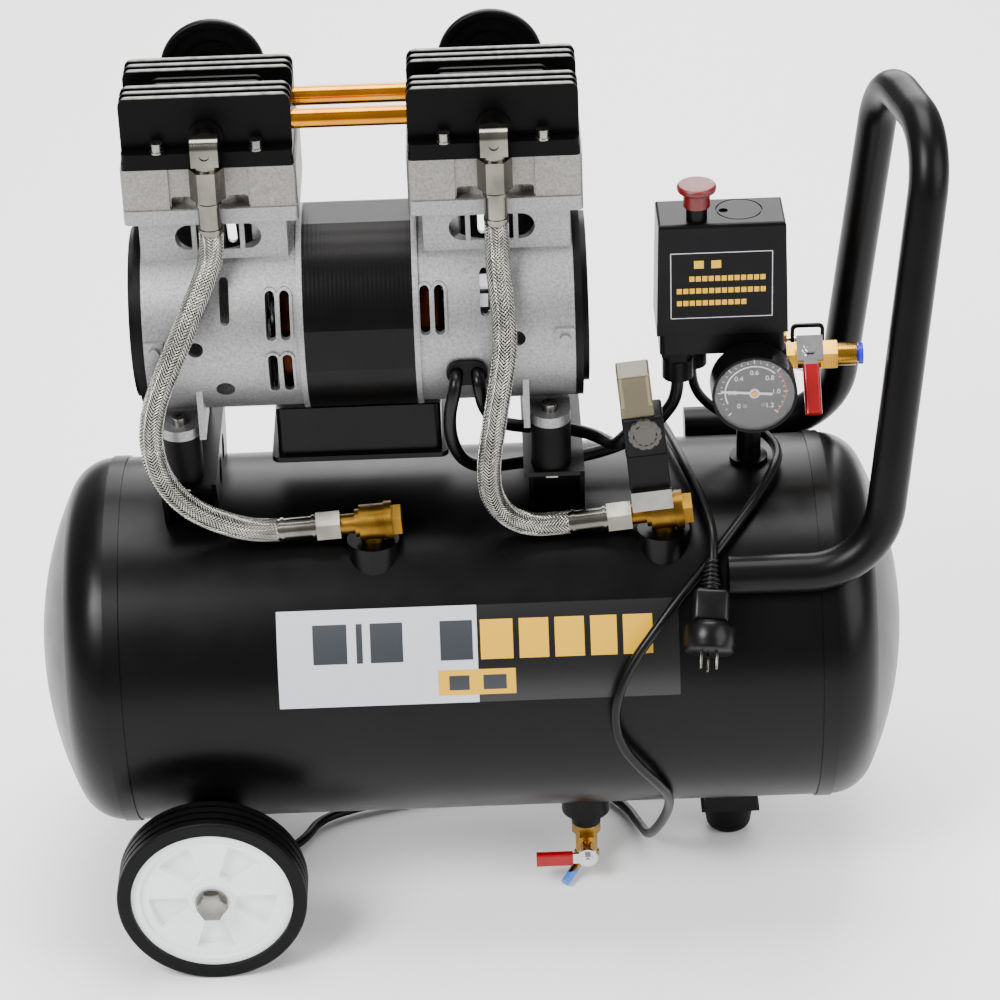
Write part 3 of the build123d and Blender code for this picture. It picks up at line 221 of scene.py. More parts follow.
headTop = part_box("cylinder_heads")[1].z
finishes = {
    "tankCoat": powderCoat("tankPowderCoat", "#020202", "#040405", 0.3),
    "handleCoat": powderCoat("handlePowderCoat", "#020202", "#050506", 0.34),
    "headPaint": headPaint("headStovePaint", headTop),
    "castBright": blastedAluminium("blastedAluminium", "#7d7d7e", "#9c9c9d", 1.1),
    "castMatte": blastedAluminium("castAluminium", "#76736f", "#928f8b", 1.3),
    "laminations": laminations("paintedLaminations"),
    "copperWire": turnedMetal("enamelledCopper", "#1c0a05", "#3d1a0b", 0.35, 0.8, "Z"),
    "zinc": turnedMetal("zincPlate", "#6b6a65", "#8c8b86", 0.26, 0.9, "Z"),
    "nickel": turnedMetal("nickelPlate", "#5f5d55", "#7d7b71", 0.2, 0.9, "X"),
    "brass": turnedMetal("turnedBrass", "#a07526", "#b98d3a", 0.24, 0.9, "X"),
    "goldPipe": turnedMetal("goldPlatedTube", "#b8740f", "#cf8a1e", 0.16, 1.5, "X"),
    "smokeCore": mouldedPlastic("relayBoard", "#3a352c", "#55503f", 0.5, 1.0, 0.03),
    "greyPlastic": mouldedPlastic("greyKnob", "#2c2925", "#3a3631", 0.35, 0.8, 0.03),
    "blueTube": mouldedPlastic("blueTube", "#2f6fc9", "#3f80da", 0.3, 1.0, 0.01),
    "castBrass": turnedMetal("castBrass", "#5f4415", "#8a6727", 0.36, 1.2, "X"),
    "steel": turnedMetal("machinedSteel", "#8a8b8c", "#c0c1c2", 0.32, 0.5, "X"),
    "chrome": turnedMetal("chromePlate", "#cfd0d2", "#ececee", 0.12, 0.9, "X"),
    "wovenSteel": wovenSteel("wovenStainless"),
    "blackRubber": mouldedPlastic("blackRubber", "#030303", "#060606", 0.55, 1.0, 0.05,
                                  Specular_IOR_Level=0.12),
    "tyreRubber": mouldedPlastic("tyreRubber", "#030303", "#060606", 0.5, 0.9, 0.05,
                                 Specular_IOR_Level=0.12),
    "whitePlastic": mouldedPlastic("whitePolypropylene", "#e9ebec", "#f1f2f3", 0.36, 1.2, 0.02,
                                   Subsurface_Weight=0.05),
    "blackPlastic": mouldedPlastic("blackNylon", "#030303", "#060607", 0.4, 0.8, 0.03,
                                   Specular_IOR_Level=0.12),
    "switchPlastic": mouldedPlastic("blackAbs", "#030303", "#060607", 0.32, 0.6, 0.02,
                                    Specular_IOR_Level=0.12),
    "redPlastic": mouldedPlastic("redAbs", "#4a0206", "#640409", 0.35, 1.0, 0.02),
    "redVinyl": mouldedPlastic("dippedVinyl", "#7d040c", "#9e0812", 0.16, 3.0, 0.08),
    "bluePlastic": mouldedPlastic("blueAcetal", "#0d108f", "#1a1eb5", 0.25, 1.0, 0.03),
    "cableJacket": mouldedPlastic("cableJacket", "#030303", "#060607", 0.3, 1.0, 0.02,
                                  Specular_IOR_Level=0.2),
    "dialBlack": printedInk("dialEnamel", "#020202", 0.5),
    "inkWhite": printedInk("whiteInk", "#f1f1ee"),
    "inkRed": printedInk("redInk", "#b5202a"),
    "inkYellow": printedInk("yellowInk", "#cf9d00"),
    "inkDark": printedInk("darkInk", "#22262c"),
    "filmGrey": printedInk("greyFilm", "#b9bac2", 0.38),
    "filmBlack": printedInk("blackFilm", "#030303", 0.3),
    "lens": clearPlastic("clearLens", "#ffffff", 0.02, 1.0),
    "smoke": clearPlastic("smokeHousing", "#7c7154", 0.12, 0.6),
}
print("materials made:", len(finishes))

nodeFinish = {
    "tank_shell": "tankCoat", "tank_heads": "tankCoat", "tank_bungs": "tankCoat",
    "motor_saddles": "handleCoat",
    "base_brackets": "handleCoat", "handle": "handleCoat", "rubber_foot": "blackRubber",
    "rubber_mounts": "blackRubber",
    "axle_bolts": "zinc", "wheel_front": "whitePlastic", "wheel_rear": "whitePlastic",
    "tyre_front": "tyreRubber",
    "tyre_rear": "tyreRubber", "stator_core": "laminations", "stator_windings": "copperWire",
    "crankshaft": "steel",
    "rotor_core": "steel", "cooling_fans": "blackPlastic", "shaft_bearings": "steel",
    "conrod_left": "castMatte",
    "conrod_right": "castMatte", "motor_housings": "castBright", "end_covers": "blackPlastic",
    "cylinder_blocks": "castMatte",
    "valve_plates": "headPaint", "cylinder_heads": "headPaint", "transfer_pipes": "goldPipe",
    "intake_silencers": "blackPlastic",
    "outlet_elbows": "nickel", "socket_screws": "zinc", "check_valves": "castBrass",
    "check_poppet_left": "blackRubber",
    "check_poppet_right": "blackRubber", "hose_fittings": "nickel", "hose_left": "wovenSteel",
    "hose_right": "wovenSteel",
    "solenoid_body": "zinc", "solenoid_coil": "blackPlastic", "solenoid_connector": "smoke",
    "manifold": "laminations",
    "safety_valve": "brass", "safety_ring": "chrome", "gauge_case": "switchPlastic",
    "gauge_dial": "dialBlack",
    "gauge_lens": "lens", "gauge_needle": "inkWhite", "switch_base": "switchPlastic",
    "switch_cover": "switchPlastic",
    "switch_knob": "redPlastic", "cable_glands": "blackPlastic", "outlet_valve": "brass",
    "outlet_lever": "redVinyl",
    "release_collet": "bluePlastic", "cable_tie": "blackPlastic", "drain_valve": "brass",
    "drain_lever": "redVinyl",
    "capacitor_box": "laminations", "motor_leads": "cableJacket", "mains_lead": "cableJacket",
    "mains_plug": "cableJacket",
}
for nodeName, finish in nodeFinish.items():
    nodes[nodeName].data.materials.clear()
    nodes[nodeName].data.materials.append(finishes[finish])

# Camera, floor and lights.

cameraSet = {"azimuth": -0.081, "elevation": 30.461, "roll": 2.074, "distance": 2368.0,
             "aim": (22.02, 0.0, 97.43 + tankAxisHeight), "lens": 128.36}


def addCamera(settings):
    azimuth, elevation, roll = (math.radians(settings[k]) for k in ("azimuth", "elevation", "roll"))
    back = Vector((math.sin(azimuth) * math.cos(elevation), -math.cos(azimuth) * math.cos(elevation),
                   math.sin(elevation)))
    level = (-back).cross(Vector((0, 0, 1))).normalized()
    upright = level.cross(-back)
    right = level * math.cos(roll) - upright * math.sin(roll)
    up = level * math.sin(roll) + upright * math.cos(roll)
    camera = bpy.data.objects.new("camera", bpy.data.cameras.new("camera"))
    camera.data.lens = settings["lens"]
    camera.data.sensor_width = 36.0
    camera.data.clip_end = 50.0
    bpy.context.scene.collection.objects.link(camera)
    turn = Matrix((right, up, back)).transposed().to_4x4()
    spot = place(*settings["aim"]) + back * settings["distance"] / 1000
    camera.matrix_world = Matrix.Translation(spot) @ turn
    bpy.context.scene.camera = camera


addCamera(cameraSet)

stageSet = {"floorSize": 14.0, "floorColour": "#ffffff", "skyColour": "#ffffff", "skyStrength": 0.5}
lightSet = [
    {"name": "keyLight", "at": (-1300, -1500, 2200), "size": 1.1, "power": 105.0},
    {"name": "fillLight", "at": (1800, -1200, 1300), "size": 1.6, "power": 42.0},
    {"name": "topLight", "at": (100, 500, 2600), "size": 1.6, "power": 95.0},
    {"name": "backLight", "at": (300, 2200, 1500), "size": 1.8, "power": 60.0},
]


def addStage():
    mesh = bpy.data.meshes.new("floor")
    shape = bmesh.new()
    bmesh.ops.create_grid(shape, x_segments=1, y_segments=1, size=stageSet["floorSize"] / 2)
    shape.to_mesh(mesh)
    shape.free()
    floor = bpy.data.objects.new("floor", mesh)
    material, tree, shader, coordinates = startMaterial("paleFloor", stageSet["floorColour"], 0.0, 0.7)
    grainBump(tree, shader, coordinates, 8.0, 0.02, 0.1, 1.0)
    mesh.materials.append(material)
    bpy.context.scene.collection.objects.link(floor)
    floor.location.z = -0.0005
    world = bpy.data.worlds.new("studio")
    world.use_nodes = True
    backdrop = world.node_tree.nodes["Background"]
    backdrop.inputs["Color"].default_value = toLinear(stageSet["skyColour"])
    backdrop.inputs["Strength"].default_value = stageSet["skyStrength"]
    bpy.context.scene.world = world
    aim = place(0, 0, 300)
    for settings in lightSet:
        light = bpy.data.lights.new(settings["name"], "AREA")
        light.size = settings["size"]
        light.energy = settings["power"]
        lamp = bpy.data.objects.new(settings["name"], light)
        bpy.context.scene.collection.objects.link(lamp)
        lamp.location = place(*settings["at"])
        lamp.rotation_euler = (aim - lamp.location).to_track_quat("-Z", "Y").to_euler()


addStage()
print("camera, floor and lights placed")


# Every made piece takes a finish and rides on a body.

def finishPiece(name, shape, finish, body="frame", smooth=True, replaces=()):
    mesh = bpy.data.meshes.new(name)
    bmesh.ops.recalc_face_normals(shape, faces=shape.faces)
    for face in shape.faces:
        face.smooth = smooth
    shape.to_mesh(mesh)
    shape.free()
    piece = bpy.data.objects.new(name, mesh)
    mesh.materials.append(finishes[finish])
    bpy.context.scene.collection.objects.link(piece)
    return settle(piece, body, replaces)


def settle(piece, body, replaces):
    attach(piece, body)
    if replaces:
        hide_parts(*replaces)
    return piece


def curveThrough(name, points, thickness=0.0, resolution=10, roundness=5):
    data = bpy.data.curves.new(name, "CURVE")
    data.dimensions = "3D"
    data.resolution_u = resolution
    data.bevel_depth = thickness / 1000
    data.bevel_resolution = roundness
    data.use_fill_caps = thickness > 0
    spline = data.splines.new("NURBS")
    spline.points.add(len(points) - 1)
    for point, where in zip(spline.points, points):
        point.co = (*place(*where), 1.0)
    spline.order_u = 3
    spline.use_endpoint_u = True
    piece = bpy.data.objects.new(name, data)
    bpy.context.scene.collection.objects.link(piece)
    return piece


def centreLine(points, name="guide"):
    guide = curveThrough(name, points, 0.0, 24)
    bpy.context.view_layer.update()
    mesh = bpy.data.meshes.new_from_object(guide)
    line = [vertex.co.copy() for vertex in mesh.vertices]
    bpy.data.objects.remove(guide)
    bpy.data.meshes.remove(mesh)
    return line


def stationsAlong(line, count):
    lengths = [0.0]
    for before, after in zip(line, line[1:]):
        lengths.append(lengths[-1] + (after - before).length)
    stations = []
    segment = 0
    for i in range(count):
        target = lengths[-1] * i / (count - 1)
        while segment < len(line) - 2 and lengths[segment + 1] < target:
            segment += 1
        span = lengths[segment + 1] - lengths[segment]
        share = (target - lengths[segment]) / span if span else 0.0
        stations.append(line[segment].lerp(line[segment + 1], share))
    return stations, lengths[-1]


def framesAlong(stations):
    frames = []
    side = Vector((0, 1, 0))
    for i, here in enumerate(stations):
        ahead = stations[min(i + 1, len(stations) - 1)] - stations[max(i - 1, 0)]
        ahead.normalize()
        side = (side - ahead * side.dot(ahead)).normalized()
        frames.append((here, side.copy(), ahead.cross(side)))
    return frames


# The free mains lead and its plug.

mainsSet = {"radius": 3.25, "length": 1.70, "exit": (150.0, 7.0, 364.0)}
mainsRoute = [
    (150, 7, 364), (150, 7, 352), (155, 11, 337), (167, 17, 322), (184, 20, 311),
    (200, 14, 304.5), (207, -4, 302), (202, -26, 301), (188, -50, 293), (170, -72, 281), (153, -90, 268),
    (135, -103, 253), (119, -114, 236), (104, -122, 218), (94, -128, 199), (90, -130.5, 178),
    (95, -130, 157), (107, -126, 137), (119, -117, 118), (127, -102, 97), (128, -85, 76),
    (124, -68, 52), (119, -50, 31), (116, -30, 14), (112, -6, 5), (103, 20, 4), (84, 42, 4),
    (54, 56, 4), (18, 58, 4), (-18, 50, 4), (-54, 38, 4), (-90, 28, 4), (-114, 15, 4),
    (-122, -6, 4), (-138, -22, 4), (-160, -18, 4), (-175, 1, 4), (-176, 26, 4), (-162, 48, 4),
    (-136, 64, 4), (-98, 76, 4), (-52, 86, 4), (-6, 94, 4), (38, 104, 4), (70, 118, 9),
    (86, 129, 30), (96, 136, 66), (103, 137, 108), (112, 137, 152), (118, 135, 194),
    (122, 127, 226), (127, 109, 252), (130, 86, 275), (132, 60, 292), (134, 34, 300.5),
    (138, 6, 304), (144, -22, 302.5), (151, -46, 296.5), (156, -67, 291), (158, -85, 283.5),
    (156.8, -94, 274.5),
]


def addMainsLead():
    lead = curveThrough("mainsLead", mainsRoute, mainsSet["radius"], 8, 5)
    lead.data.materials.append(finishes["cableJacket"])
    settle(lead, "frame", ["mains_lead"])
    return lead


plugSet = {"reliefLength": 20.0, "reliefStart": 4.6, "reliefEnd": 7.4, "ribs": 6, "neckWide": 23.0,
           "neckDeep": 16.0,
           "neckLength": 22.0, "discRadius": 16.8, "discLength": 19.0, "pinReach": 12.0, "neckMiddle": 31.0,
           "discStart": 42.0, "pinSize": (1.6, 5.0)}


def plugFrame():
    end = place(*mainsRoute[-1])
    ahead = (end - place(*mainsRoute[-2])).normalized()
    across = Vector((1, 0, -0.04))
    across = (across - ahead * across.dot(ahead)).normalized()
    return Matrix((across, ahead.cross(across), ahead)).transposed().to_4x4(), end


def spinProfile(shape, outline, steps=48):
    # Turns a radius and height outline about Z; all values in millimetres.
    chain = [shape.verts.new((radius / 1000, 0, height / 1000)) for radius, height in outline]
    edges = [shape.edges.new(pair) for pair in zip(chain, chain[1:])]
    bmesh.ops.spin(shape, geom=chain + edges, cent=(0, 0, 0), axis=(0, 0, 1), dvec=(0, 0, 0),
                   angle=math.tau, steps=steps, use_merge=True, use_duplicate=False)
    bmesh.ops.remove_doubles(shape, verts=shape.verts, dist=1e-6)


def roundedBlock(shape, size, centre, bevel, segments=3, turn=None):
    made = bmesh.ops.create_cube(shape, size=1.0)["verts"]
    bmesh.ops.scale(shape, vec=Vector(size) / 1000, verts=made)
    if bevel:
        edges = list({edge for vert in made for edge in vert.link_edges})
        result = bmesh.ops.bevel(shape, geom=edges, offset=bevel / 1000, offset_type="OFFSET",
                                 segments=segments,
                                 profile=0.5, affect="EDGES", material=-1)
        bevelled = {vert for face in result["faces"] for vert in face.verts}
        made = list(bevelled | {v for v in made if v.is_valid})
        made = list({v for vert in made for edge in vert.link_edges for v in edge.verts})
    if turn is not None:
        bmesh.ops.transform(shape, matrix=turn, verts=made)
    bmesh.ops.translate(shape, vec=Vector(centre) / 1000, verts=made)
    return made


def addPlug():
    s = plugSet
    shape = bmesh.new()
    outline = [(3.3, 0.0), (s["reliefStart"], 0.4)]
    pitch = (s["reliefLength"] - 2) / s["ribs"]
    for i in range(s["ribs"]):
        base = 1.0 + i * pitch
        girth = s["reliefStart"] + (s["reliefEnd"] - s["reliefStart"]) * (i + 1) / s["ribs"]
        outline += [(girth, base), (girth, base + pitch * 0.55), (girth - 1.3, base + pitch * 0.6),
                    (girth - 1.3, base + pitch * 0.95)]
    outline += [(s["reliefEnd"], s["reliefLength"]), (0.001, s["reliefLength"])]
    spinProfile(shape, outline, 32)
    roundedBlock(shape, (s["neckWide"], s["neckDeep"], s["neckLength"]), (0, 0, s["neckMiddle"]), 3.0, 3)
    disc = bmesh.new()
    r = s["discRadius"]
    spinProfile(disc, [(0.001, 0), (r - 4, 0), (r - 1.2, 1.2), (r, 4), (r, 14), (r - 1.0, 16),
                       (r - 1.0, 18),
                       (r - 2, s["discLength"]), (0.001, s["discLength"])], 56)
    bmesh.ops.translate(disc, vec=(0, 0, s["discStart"] / 1000), verts=disc.verts)
    carrier = bpy.data.meshes.new("plugDisc")
    disc.to_mesh(carrier)
    disc.free()
    shape.from_mesh(carrier)
    bpy.data.meshes.remove(carrier)
    turn, end = plugFrame()
    bmesh.ops.transform(shape, matrix=Matrix.Translation(end) @ turn, verts=shape.verts)
    plug = finishPiece("mainsPlug", shape, "cableJacket", "frame", replaces=["mains_plug"])
    pins = bmesh.new()
    for dx, dy in ((-5, 4), (5, 4), (0, -5)):
        height = s["discStart"] + s["discLength"] + s["pinReach"] / 2 - 0.5
        roundedBlock(pins, (*s["pinSize"], s["pinReach"]), (dx, dy, height), 0.4, 2)
    bmesh.ops.transform(pins, matrix=Matrix.Translation(end) @ turn, verts=pins.verts)
    pinPiece = finishPiece("plugPins", pins, "nickel", "frame")
    return [plug, pinPiece]


mainsLead = addMainsLead()
plugPieces = addPlug()
print("mains lead and plug laid")


# Braided hoses.

hoseSet = {"core": 6.3, "wire": 0.5, "coil": 6.9, "carriers": 10, "strands": 2, "columns": 10, "lift": 0.42,
           "twist": 46.0, "stations": 230}
hoseRoutes = {
    "left": [(-151, -49, 498), (-151, -49, 486), (-155.5, -57, 471), (-166, -68, 452), (-174.5, -74, 434),
             (-184.5, -78, 414), (-193, -80, 393), (-197, -80.5, 371), (-195, -79, 349.5),
             (-189, -77, 332.5),
             (-178, -73.5, 316), (-161, -69, 302), (-135.62, -64, 289.98), (-121.65, -64, 290.83)],
    "right": [(26, -49, 498), (26, -49, 486), (25.8, -57.5, 470), (28, -67, 450), (29.1, -73, 431),
              (27, -77, 411),
              (23, -79.5, 390), (19.2, -81, 367), (15.3, -80, 343), (16, -76.5, 319), (24, -71.5, 301),
              (38, -67.5, 290.5), (52.14, -64, 287.35), (66.08, -64, 288.69)],
}


def addHose(side):
    s = hoseSet
    line = centreLine(hoseRoutes[side])
    stations, length = stationsAlong(line, s["stations"])
    frames = framesAlong(stations)
    core = curveThrough("hoseCore_" + side, hoseRoutes[side], s["core"], 8, 6)
    core.data.materials.append(finishes["blackRubber"])
    settle(core, "frame", ["hose_" + side])
    data = bpy.data.curves.new("hoseBraid_" + side, "CURVE")
    data.dimensions = "3D"
    data.bevel_depth = s["wire"] / 1000
    data.bevel_resolution = 0
    turns = length * 1000 / s["twist"]
    for direction in (-1, 1):
        for carrier in range(s["carriers"]):
            for strand in range(s["strands"]):
                spline = data.splines.new("POLY")
                spline.points.add(len(frames) - 1)
                start = (carrier + strand / s["strands"]) / s["carriers"]
                for i, (here, one, two) in enumerate(frames):
                    angle = math.tau * (direction * turns * i / (len(frames) - 1) + start)
                    # Strands of one lay ride on top in every second column, which makes the herringbone.
                    over = math.copysign(1.0, math.sin(angle * s["columns"] / 2))
                    reach = (s["coil"] + s["lift"] * direction * over) / 1000
                    spot = here + one * math.cos(angle) * reach
                    spline.points[i].co = (*(spot + two * math.sin(angle) * reach), 1.0)
    braid = bpy.data.objects.new("hoseBraid_" + side, data)
    data.materials.append(finishes["wovenSteel"])
    bpy.context.scene.collection.objects.link(braid)
    settle(braid, "frame", [])


for side in hoseRoutes:
    addHose(side)
print("hoses braided")

# Motor leads.

leadSet = {"radius": 4.2}
leadRoutes = {
    "motorLead": [(-2.5, -59, 401), (-2.5, -71, 401), (-5, -75, 390), (-8, -73, 376), (-8, -68, 358),
                  (-4, -60, 340),
                  (4, -47, 324.5), (16, -32, 313.5), (31, -20, 308.8), (49, -16.2, 308), (68, -15.8, 308.6),
                  (86, -13.5, 310.5), (104, -10.5, 315), (120, -8.5, 323), (132, -8.5, 335),
                  (140, -10, 350), (140, -10, 364)],
    "solenoidLead": [(10.5, -59, 401), (10.5, -70, 401), (12, -72, 390), (13.5, -67.5, 379), (17, -59, 367),
                     (24, -48, 355), (36, -34.5, 344.5), (51, -24.5, 337.5), (67, -21, 334), (83, -26, 332),
                     (93, -38, 332.5), (97, -51, 337), (100, -61, 346), (106, -66, 355)],
}
for leadName, route in leadRoutes.items():
    lead = curveThrough(leadName, route, leadSet["radius"], 8, 5)
    lead.data.materials.append(finishes["cableJacket"])
    settle(lead, "frame", ["motor_leads"] if leadName == "motorLead" else [])
print("motor leads laid")

# Nodes that carry two finishes.

def splitNode(nodeName, body, point, normal, looks):
    # A copy of the node's mesh is cut by a plane; the side ahead of it takes the first finish.
    source = nodes[nodeName].data
    for order, (finish, slot) in enumerate(looks):
        shape = bmesh.new()
        shape.from_mesh(source)
        bmesh.ops.remove_doubles(shape, verts=shape.verts, dist=1e-6)
        bmesh.ops.bisect_plane(shape, geom=shape.verts[:] + shape.edges[:] + shape.faces[:], dist=1e-6,
                               plane_co=point, plane_no=normal, clear_inner=order == 0,
                               clear_outer=order == 1)
        rims = [edge for edge in shape.edges if edge.is_boundary]
        bmesh.ops.holes_fill(shape, edges=rims, sides=0)
        finishPiece(nodeName + "_" + finish, shape, finish, body, smooth=False,
                    replaces=[nodeName] if order == 0 else [])


leverSet = {"outletCut": (225.5, -19.4, 373.2), "drainCut": (63.0, -64.5, 22.0),
            "tubeCut": (73.0, -45.0, 9.4)}
splitNode("outlet_lever", "outlet_lever", place(*leverSet["outletCut"]), Vector((0, -1, -1)).normalized(),
          [("redVinyl", "red_vinyl"), ("chrome", "chrome")])
splitNode("drain_lever", "drain_lever", place(*leverSet["drainCut"]), Vector((-1, 0, 0)),
          [("redVinyl", "red_vinyl"), ("chrome", "chrome")])
splitNode("drain_valve", "frame", place(*leverSet["tubeCut"]), Vector((0, 0, -1)),
          [("blueTube", "blue_plastic"), ("brass", "brass")])

# The solenoid's scalloped knob and the board behind its window.

connectorSet = {"tilt": 5.5, "pivot": (127.0, -64.0, 282.0), "knobAt": (122.5, -81.0, 362.0),
                "knobRadius": 10.6,
                "knobDepth": 2.8, "scallops": 12, "scallopDepth": 0.9, "bodyAt": (122.0, -68.0, 359.0),
                "bodySize": (26.5, 24.0, 28.0), "windowAt": (119.5, -68.0, 388.0),
                "windowSize": (21.0, 22.0, 30.0),
                "boardAt": (119.5, -68.0, 387.0), "boardSize": (15.0, 19.4, 20.0),
                "relaySize": (5.0, 1.2, 11.0),
                "relaySpread": 3.6, "relayForward": 10.0, "capInset": 3.0, "capRise": 0.5}


def blockAt(shape, size, centre, bevel):
    x, y, z = centre
    return roundedBlock(shape, size, (tankMiddle * 1000 + x, y, z), bevel, 2)


def leanWithValve(shape):
    lean = Matrix.Rotation(math.radians(-connectorSet["tilt"]), 4, "Y")
    pivot = Matrix.Translation(place(*connectorSet["pivot"]))
    bmesh.ops.transform(shape, matrix=pivot @ lean @ pivot.inverted(), verts=shape.verts)


def addConnectorDetail():
    s = connectorSet
    knob = bmesh.new()
    bmesh.ops.create_cone(knob, cap_ends=True, segments=s["scallops"] * 6, radius1=s["knobRadius"] / 1000,
                          radius2=s["knobRadius"] / 1000, depth=s["knobDepth"] / 1000)
    for vert in knob.verts:
        angle = math.atan2(vert.co.y, vert.co.x)
        dip = s["scallopDepth"] * max(0.0, math.cos(angle * s["scallops"])) ** 2 / s["knobRadius"]
        vert.co.x *= 1 - dip
        vert.co.y *= 1 - dip
    caps = [face for face in knob.faces if len(face.verts) > 4]
    bmesh.ops.inset_region(knob, faces=caps, thickness=s["capInset"] / 1000, depth=0.0)
    bmesh.ops.translate(knob, vec=(0, 0, s["capRise"] / 1000),
                        verts=[v for face in caps for v in face.verts if v.co.z > 0])
    turn = Matrix.Translation(place(*s["knobAt"])) @ Matrix.Rotation(math.radians(90), 4, "X")
    bmesh.ops.transform(knob, matrix=turn, verts=knob.verts)
    leanWithValve(knob)
    finishPiece("connectorKnob", knob, "greyPlastic", "frame", smooth=False)
    body = bmesh.new()
    blockAt(body, s["bodySize"], s["bodyAt"], 1.6)
    leanWithValve(body)
    finishPiece("connectorBody", body, "blackPlastic", "frame",
                replaces=["solenoid_connector"])
    window = bmesh.new()
    blockAt(window, s["windowSize"], s["windowAt"], 1.2)
    leanWithValve(window)
    finishPiece("connectorWindow", window, "smoke", "frame", smooth=False)
    board = bmesh.new()
    blockAt(board, s["boardSize"], s["boardAt"], 0.8)
    x, y, z = s["boardAt"]
    for dx in (-s["relaySpread"], s["relaySpread"]):
        blockAt(board, s["relaySize"], (x + dx, y - s["relayForward"], z + 1.0), 0.3)
    leanWithValve(board)
    finishPiece("connectorBoard", board, "smokeCore", "frame", smooth=False)


addConnectorDetail()
print("solenoid connector finished")

# Gauge dial print.

gaugeSet = {"sweepStart": 225.0, "sweepEnd": -45.0, "arcRadius": 18.6, "redRadius": 20.4, "arcWidth": 0.9,
            "numbers": ["0", "0.2", "0.4", "0.6", "0.8", "1.0", "1.2"], "numberRadius": 14.0,
            "numberHeight": 3.5,
            "arcStep": 3, "ticks": 24, "ticksPerNumber": 4, "redFrom": 44, "whiteTick": 20.2,
            "redTick": 18.4,
            "longTick": 3.2, "shortTick": 1.8, "longWidth": 0.7, "shortWidth": 0.4, "tickGap": 0.4}


def gaugePlane():
    low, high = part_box("gauge_dial")
    centre = (low + high) / 2
    return Vector((centre.x, low.y - 0.00005, centre.z))


def dialArc(shape, radius, width, start, end):
    # A flat band of arc that faces the front.
    centre = gaugePlane()
    lean = math.radians(start)
    rim = [Vector((math.cos(lean), 0, math.sin(lean))) * r / 1000 for r in (radius - width / 2,
                                                                            radius + width / 2)]
    chain = [shape.verts.new(centre + v) for v in rim]
    edge = shape.edges.new(chain)
    steps = max(2, int(abs(start - end) / gaugeSet["arcStep"]))
    bmesh.ops.spin(shape, geom=chain + [edge], cent=centre, axis=(0, 1, 0), dvec=(0, 0, 0),
                   angle=math.radians(start - end), steps=steps, use_duplicate=False)


def addDial():
    s = gaugeSet
    for name, radius, start, end, finish in (("dialArc", s["arcRadius"], 205, 45, "inkWhite"),
                                             ("dialRedArc", s["redRadius"], 45, -45, "inkRed")):
        shape = bmesh.new()
        dialArc(shape, radius, s["arcWidth"], start, end)
        finishPiece(name, shape, finish, "frame", smooth=False)
    shape = bmesh.new()
    centre = gaugePlane()
    for i in range(s["ticks"] + 1):
        angle = s["sweepStart"] + (s["sweepEnd"] - s["sweepStart"]) * i / s["ticks"]
        long = i % s["ticksPerNumber"] == 0
        radius = s["whiteTick"] if angle > s["redFrom"] else s["redTick"]
        reach = (radius + s["tickGap"], radius + (s["longTick"] if long else s["shortTick"]))
        width = s["longWidth"] if long else s["shortWidth"]
        lean = math.radians(angle)
        outward = Vector((math.cos(lean), 0, math.sin(lean)))
        sideways = Vector((-math.sin(lean), 0, math.cos(lean)))
        corners = [centre + (outward * r + sideways * w) / 1000 for r, w in
                   ((reach[0], -width / 2), (reach[1], -width / 2), (reach[1], width / 2),
                    (reach[0], width / 2))]
        shape.faces.new([shape.verts.new(c) for c in corners])
    finishPiece("dialTicks", shape, "inkWhite", "frame", smooth=False)
    for i, text in enumerate(s["numbers"]):
        steps = len(s["numbers"]) - 1
        angle = math.radians(s["sweepStart"] + (s["sweepEnd"] - s["sweepStart"]) * i / steps)
        data = bpy.data.curves.new("dialNumber", "FONT")
        data.body = text
        data.size = s["numberHeight"] / 1000 * 1.35
        data.align_x = "CENTER"
        data.align_y = "CENTER"
        words = bpy.data.objects.new("dialNumber", data)
        bpy.context.scene.collection.objects.link(words)
        bpy.context.view_layer.update()
        mesh = bpy.data.meshes.new_from_object(words)
        bpy.data.objects.remove(words)
        spot = centre + Vector((math.cos(angle), 0, math.sin(angle))) * s["numberRadius"] / 1000
        mesh.transform(Matrix.Translation(spot) @ Matrix.Rotation(math.radians(90), 4, "X"))
        number = bpy.data.objects.new("dialNumber_" + str(i), mesh)
        mesh.materials.clear()
        mesh.materials.append(finishes["inkWhite"])
        bpy.context.scene.collection.objects.link(number)
        settle(number, "frame", [])
    hub = bmesh.new()
    spinProfile(hub, [(0.001, 0.5), (1.6, 0.5), (2.2, 0.2), (2.6, -0.6), (0.001, -0.6)], 24)
    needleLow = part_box("gauge_needle")[0]
    turn = Matrix.Rotation(math.radians(90), 4, "X")
    bmesh.ops.transform(hub, matrix=Matrix.Translation((centre.x, needleLow.y, centre.z)) @ turn,
                        verts=hub.verts)
    finishPiece("needleHub", hub, "brass", "gauge_needle")
    screws = bmesh.new()
    for dx, dz in ((-5.6, -10.0), (5.6, -9.4)):
        one = bmesh.ops.create_cone(screws, cap_ends=True, segments=20, radius1=0.0019, radius2=0.0016,
                                    depth=0.0008)["verts"]
        bmesh.ops.transform(screws, matrix=Matrix.Translation(centre + Vector((dx / 1000, -0.0004,
                                                                               dz / 1000))) @ turn,
                                                                               verts=one)
    finishPiece("dialScrews", screws, "zinc", "frame")


addDial()
print("gauge dial printed")

# Tank decal and switch panel.

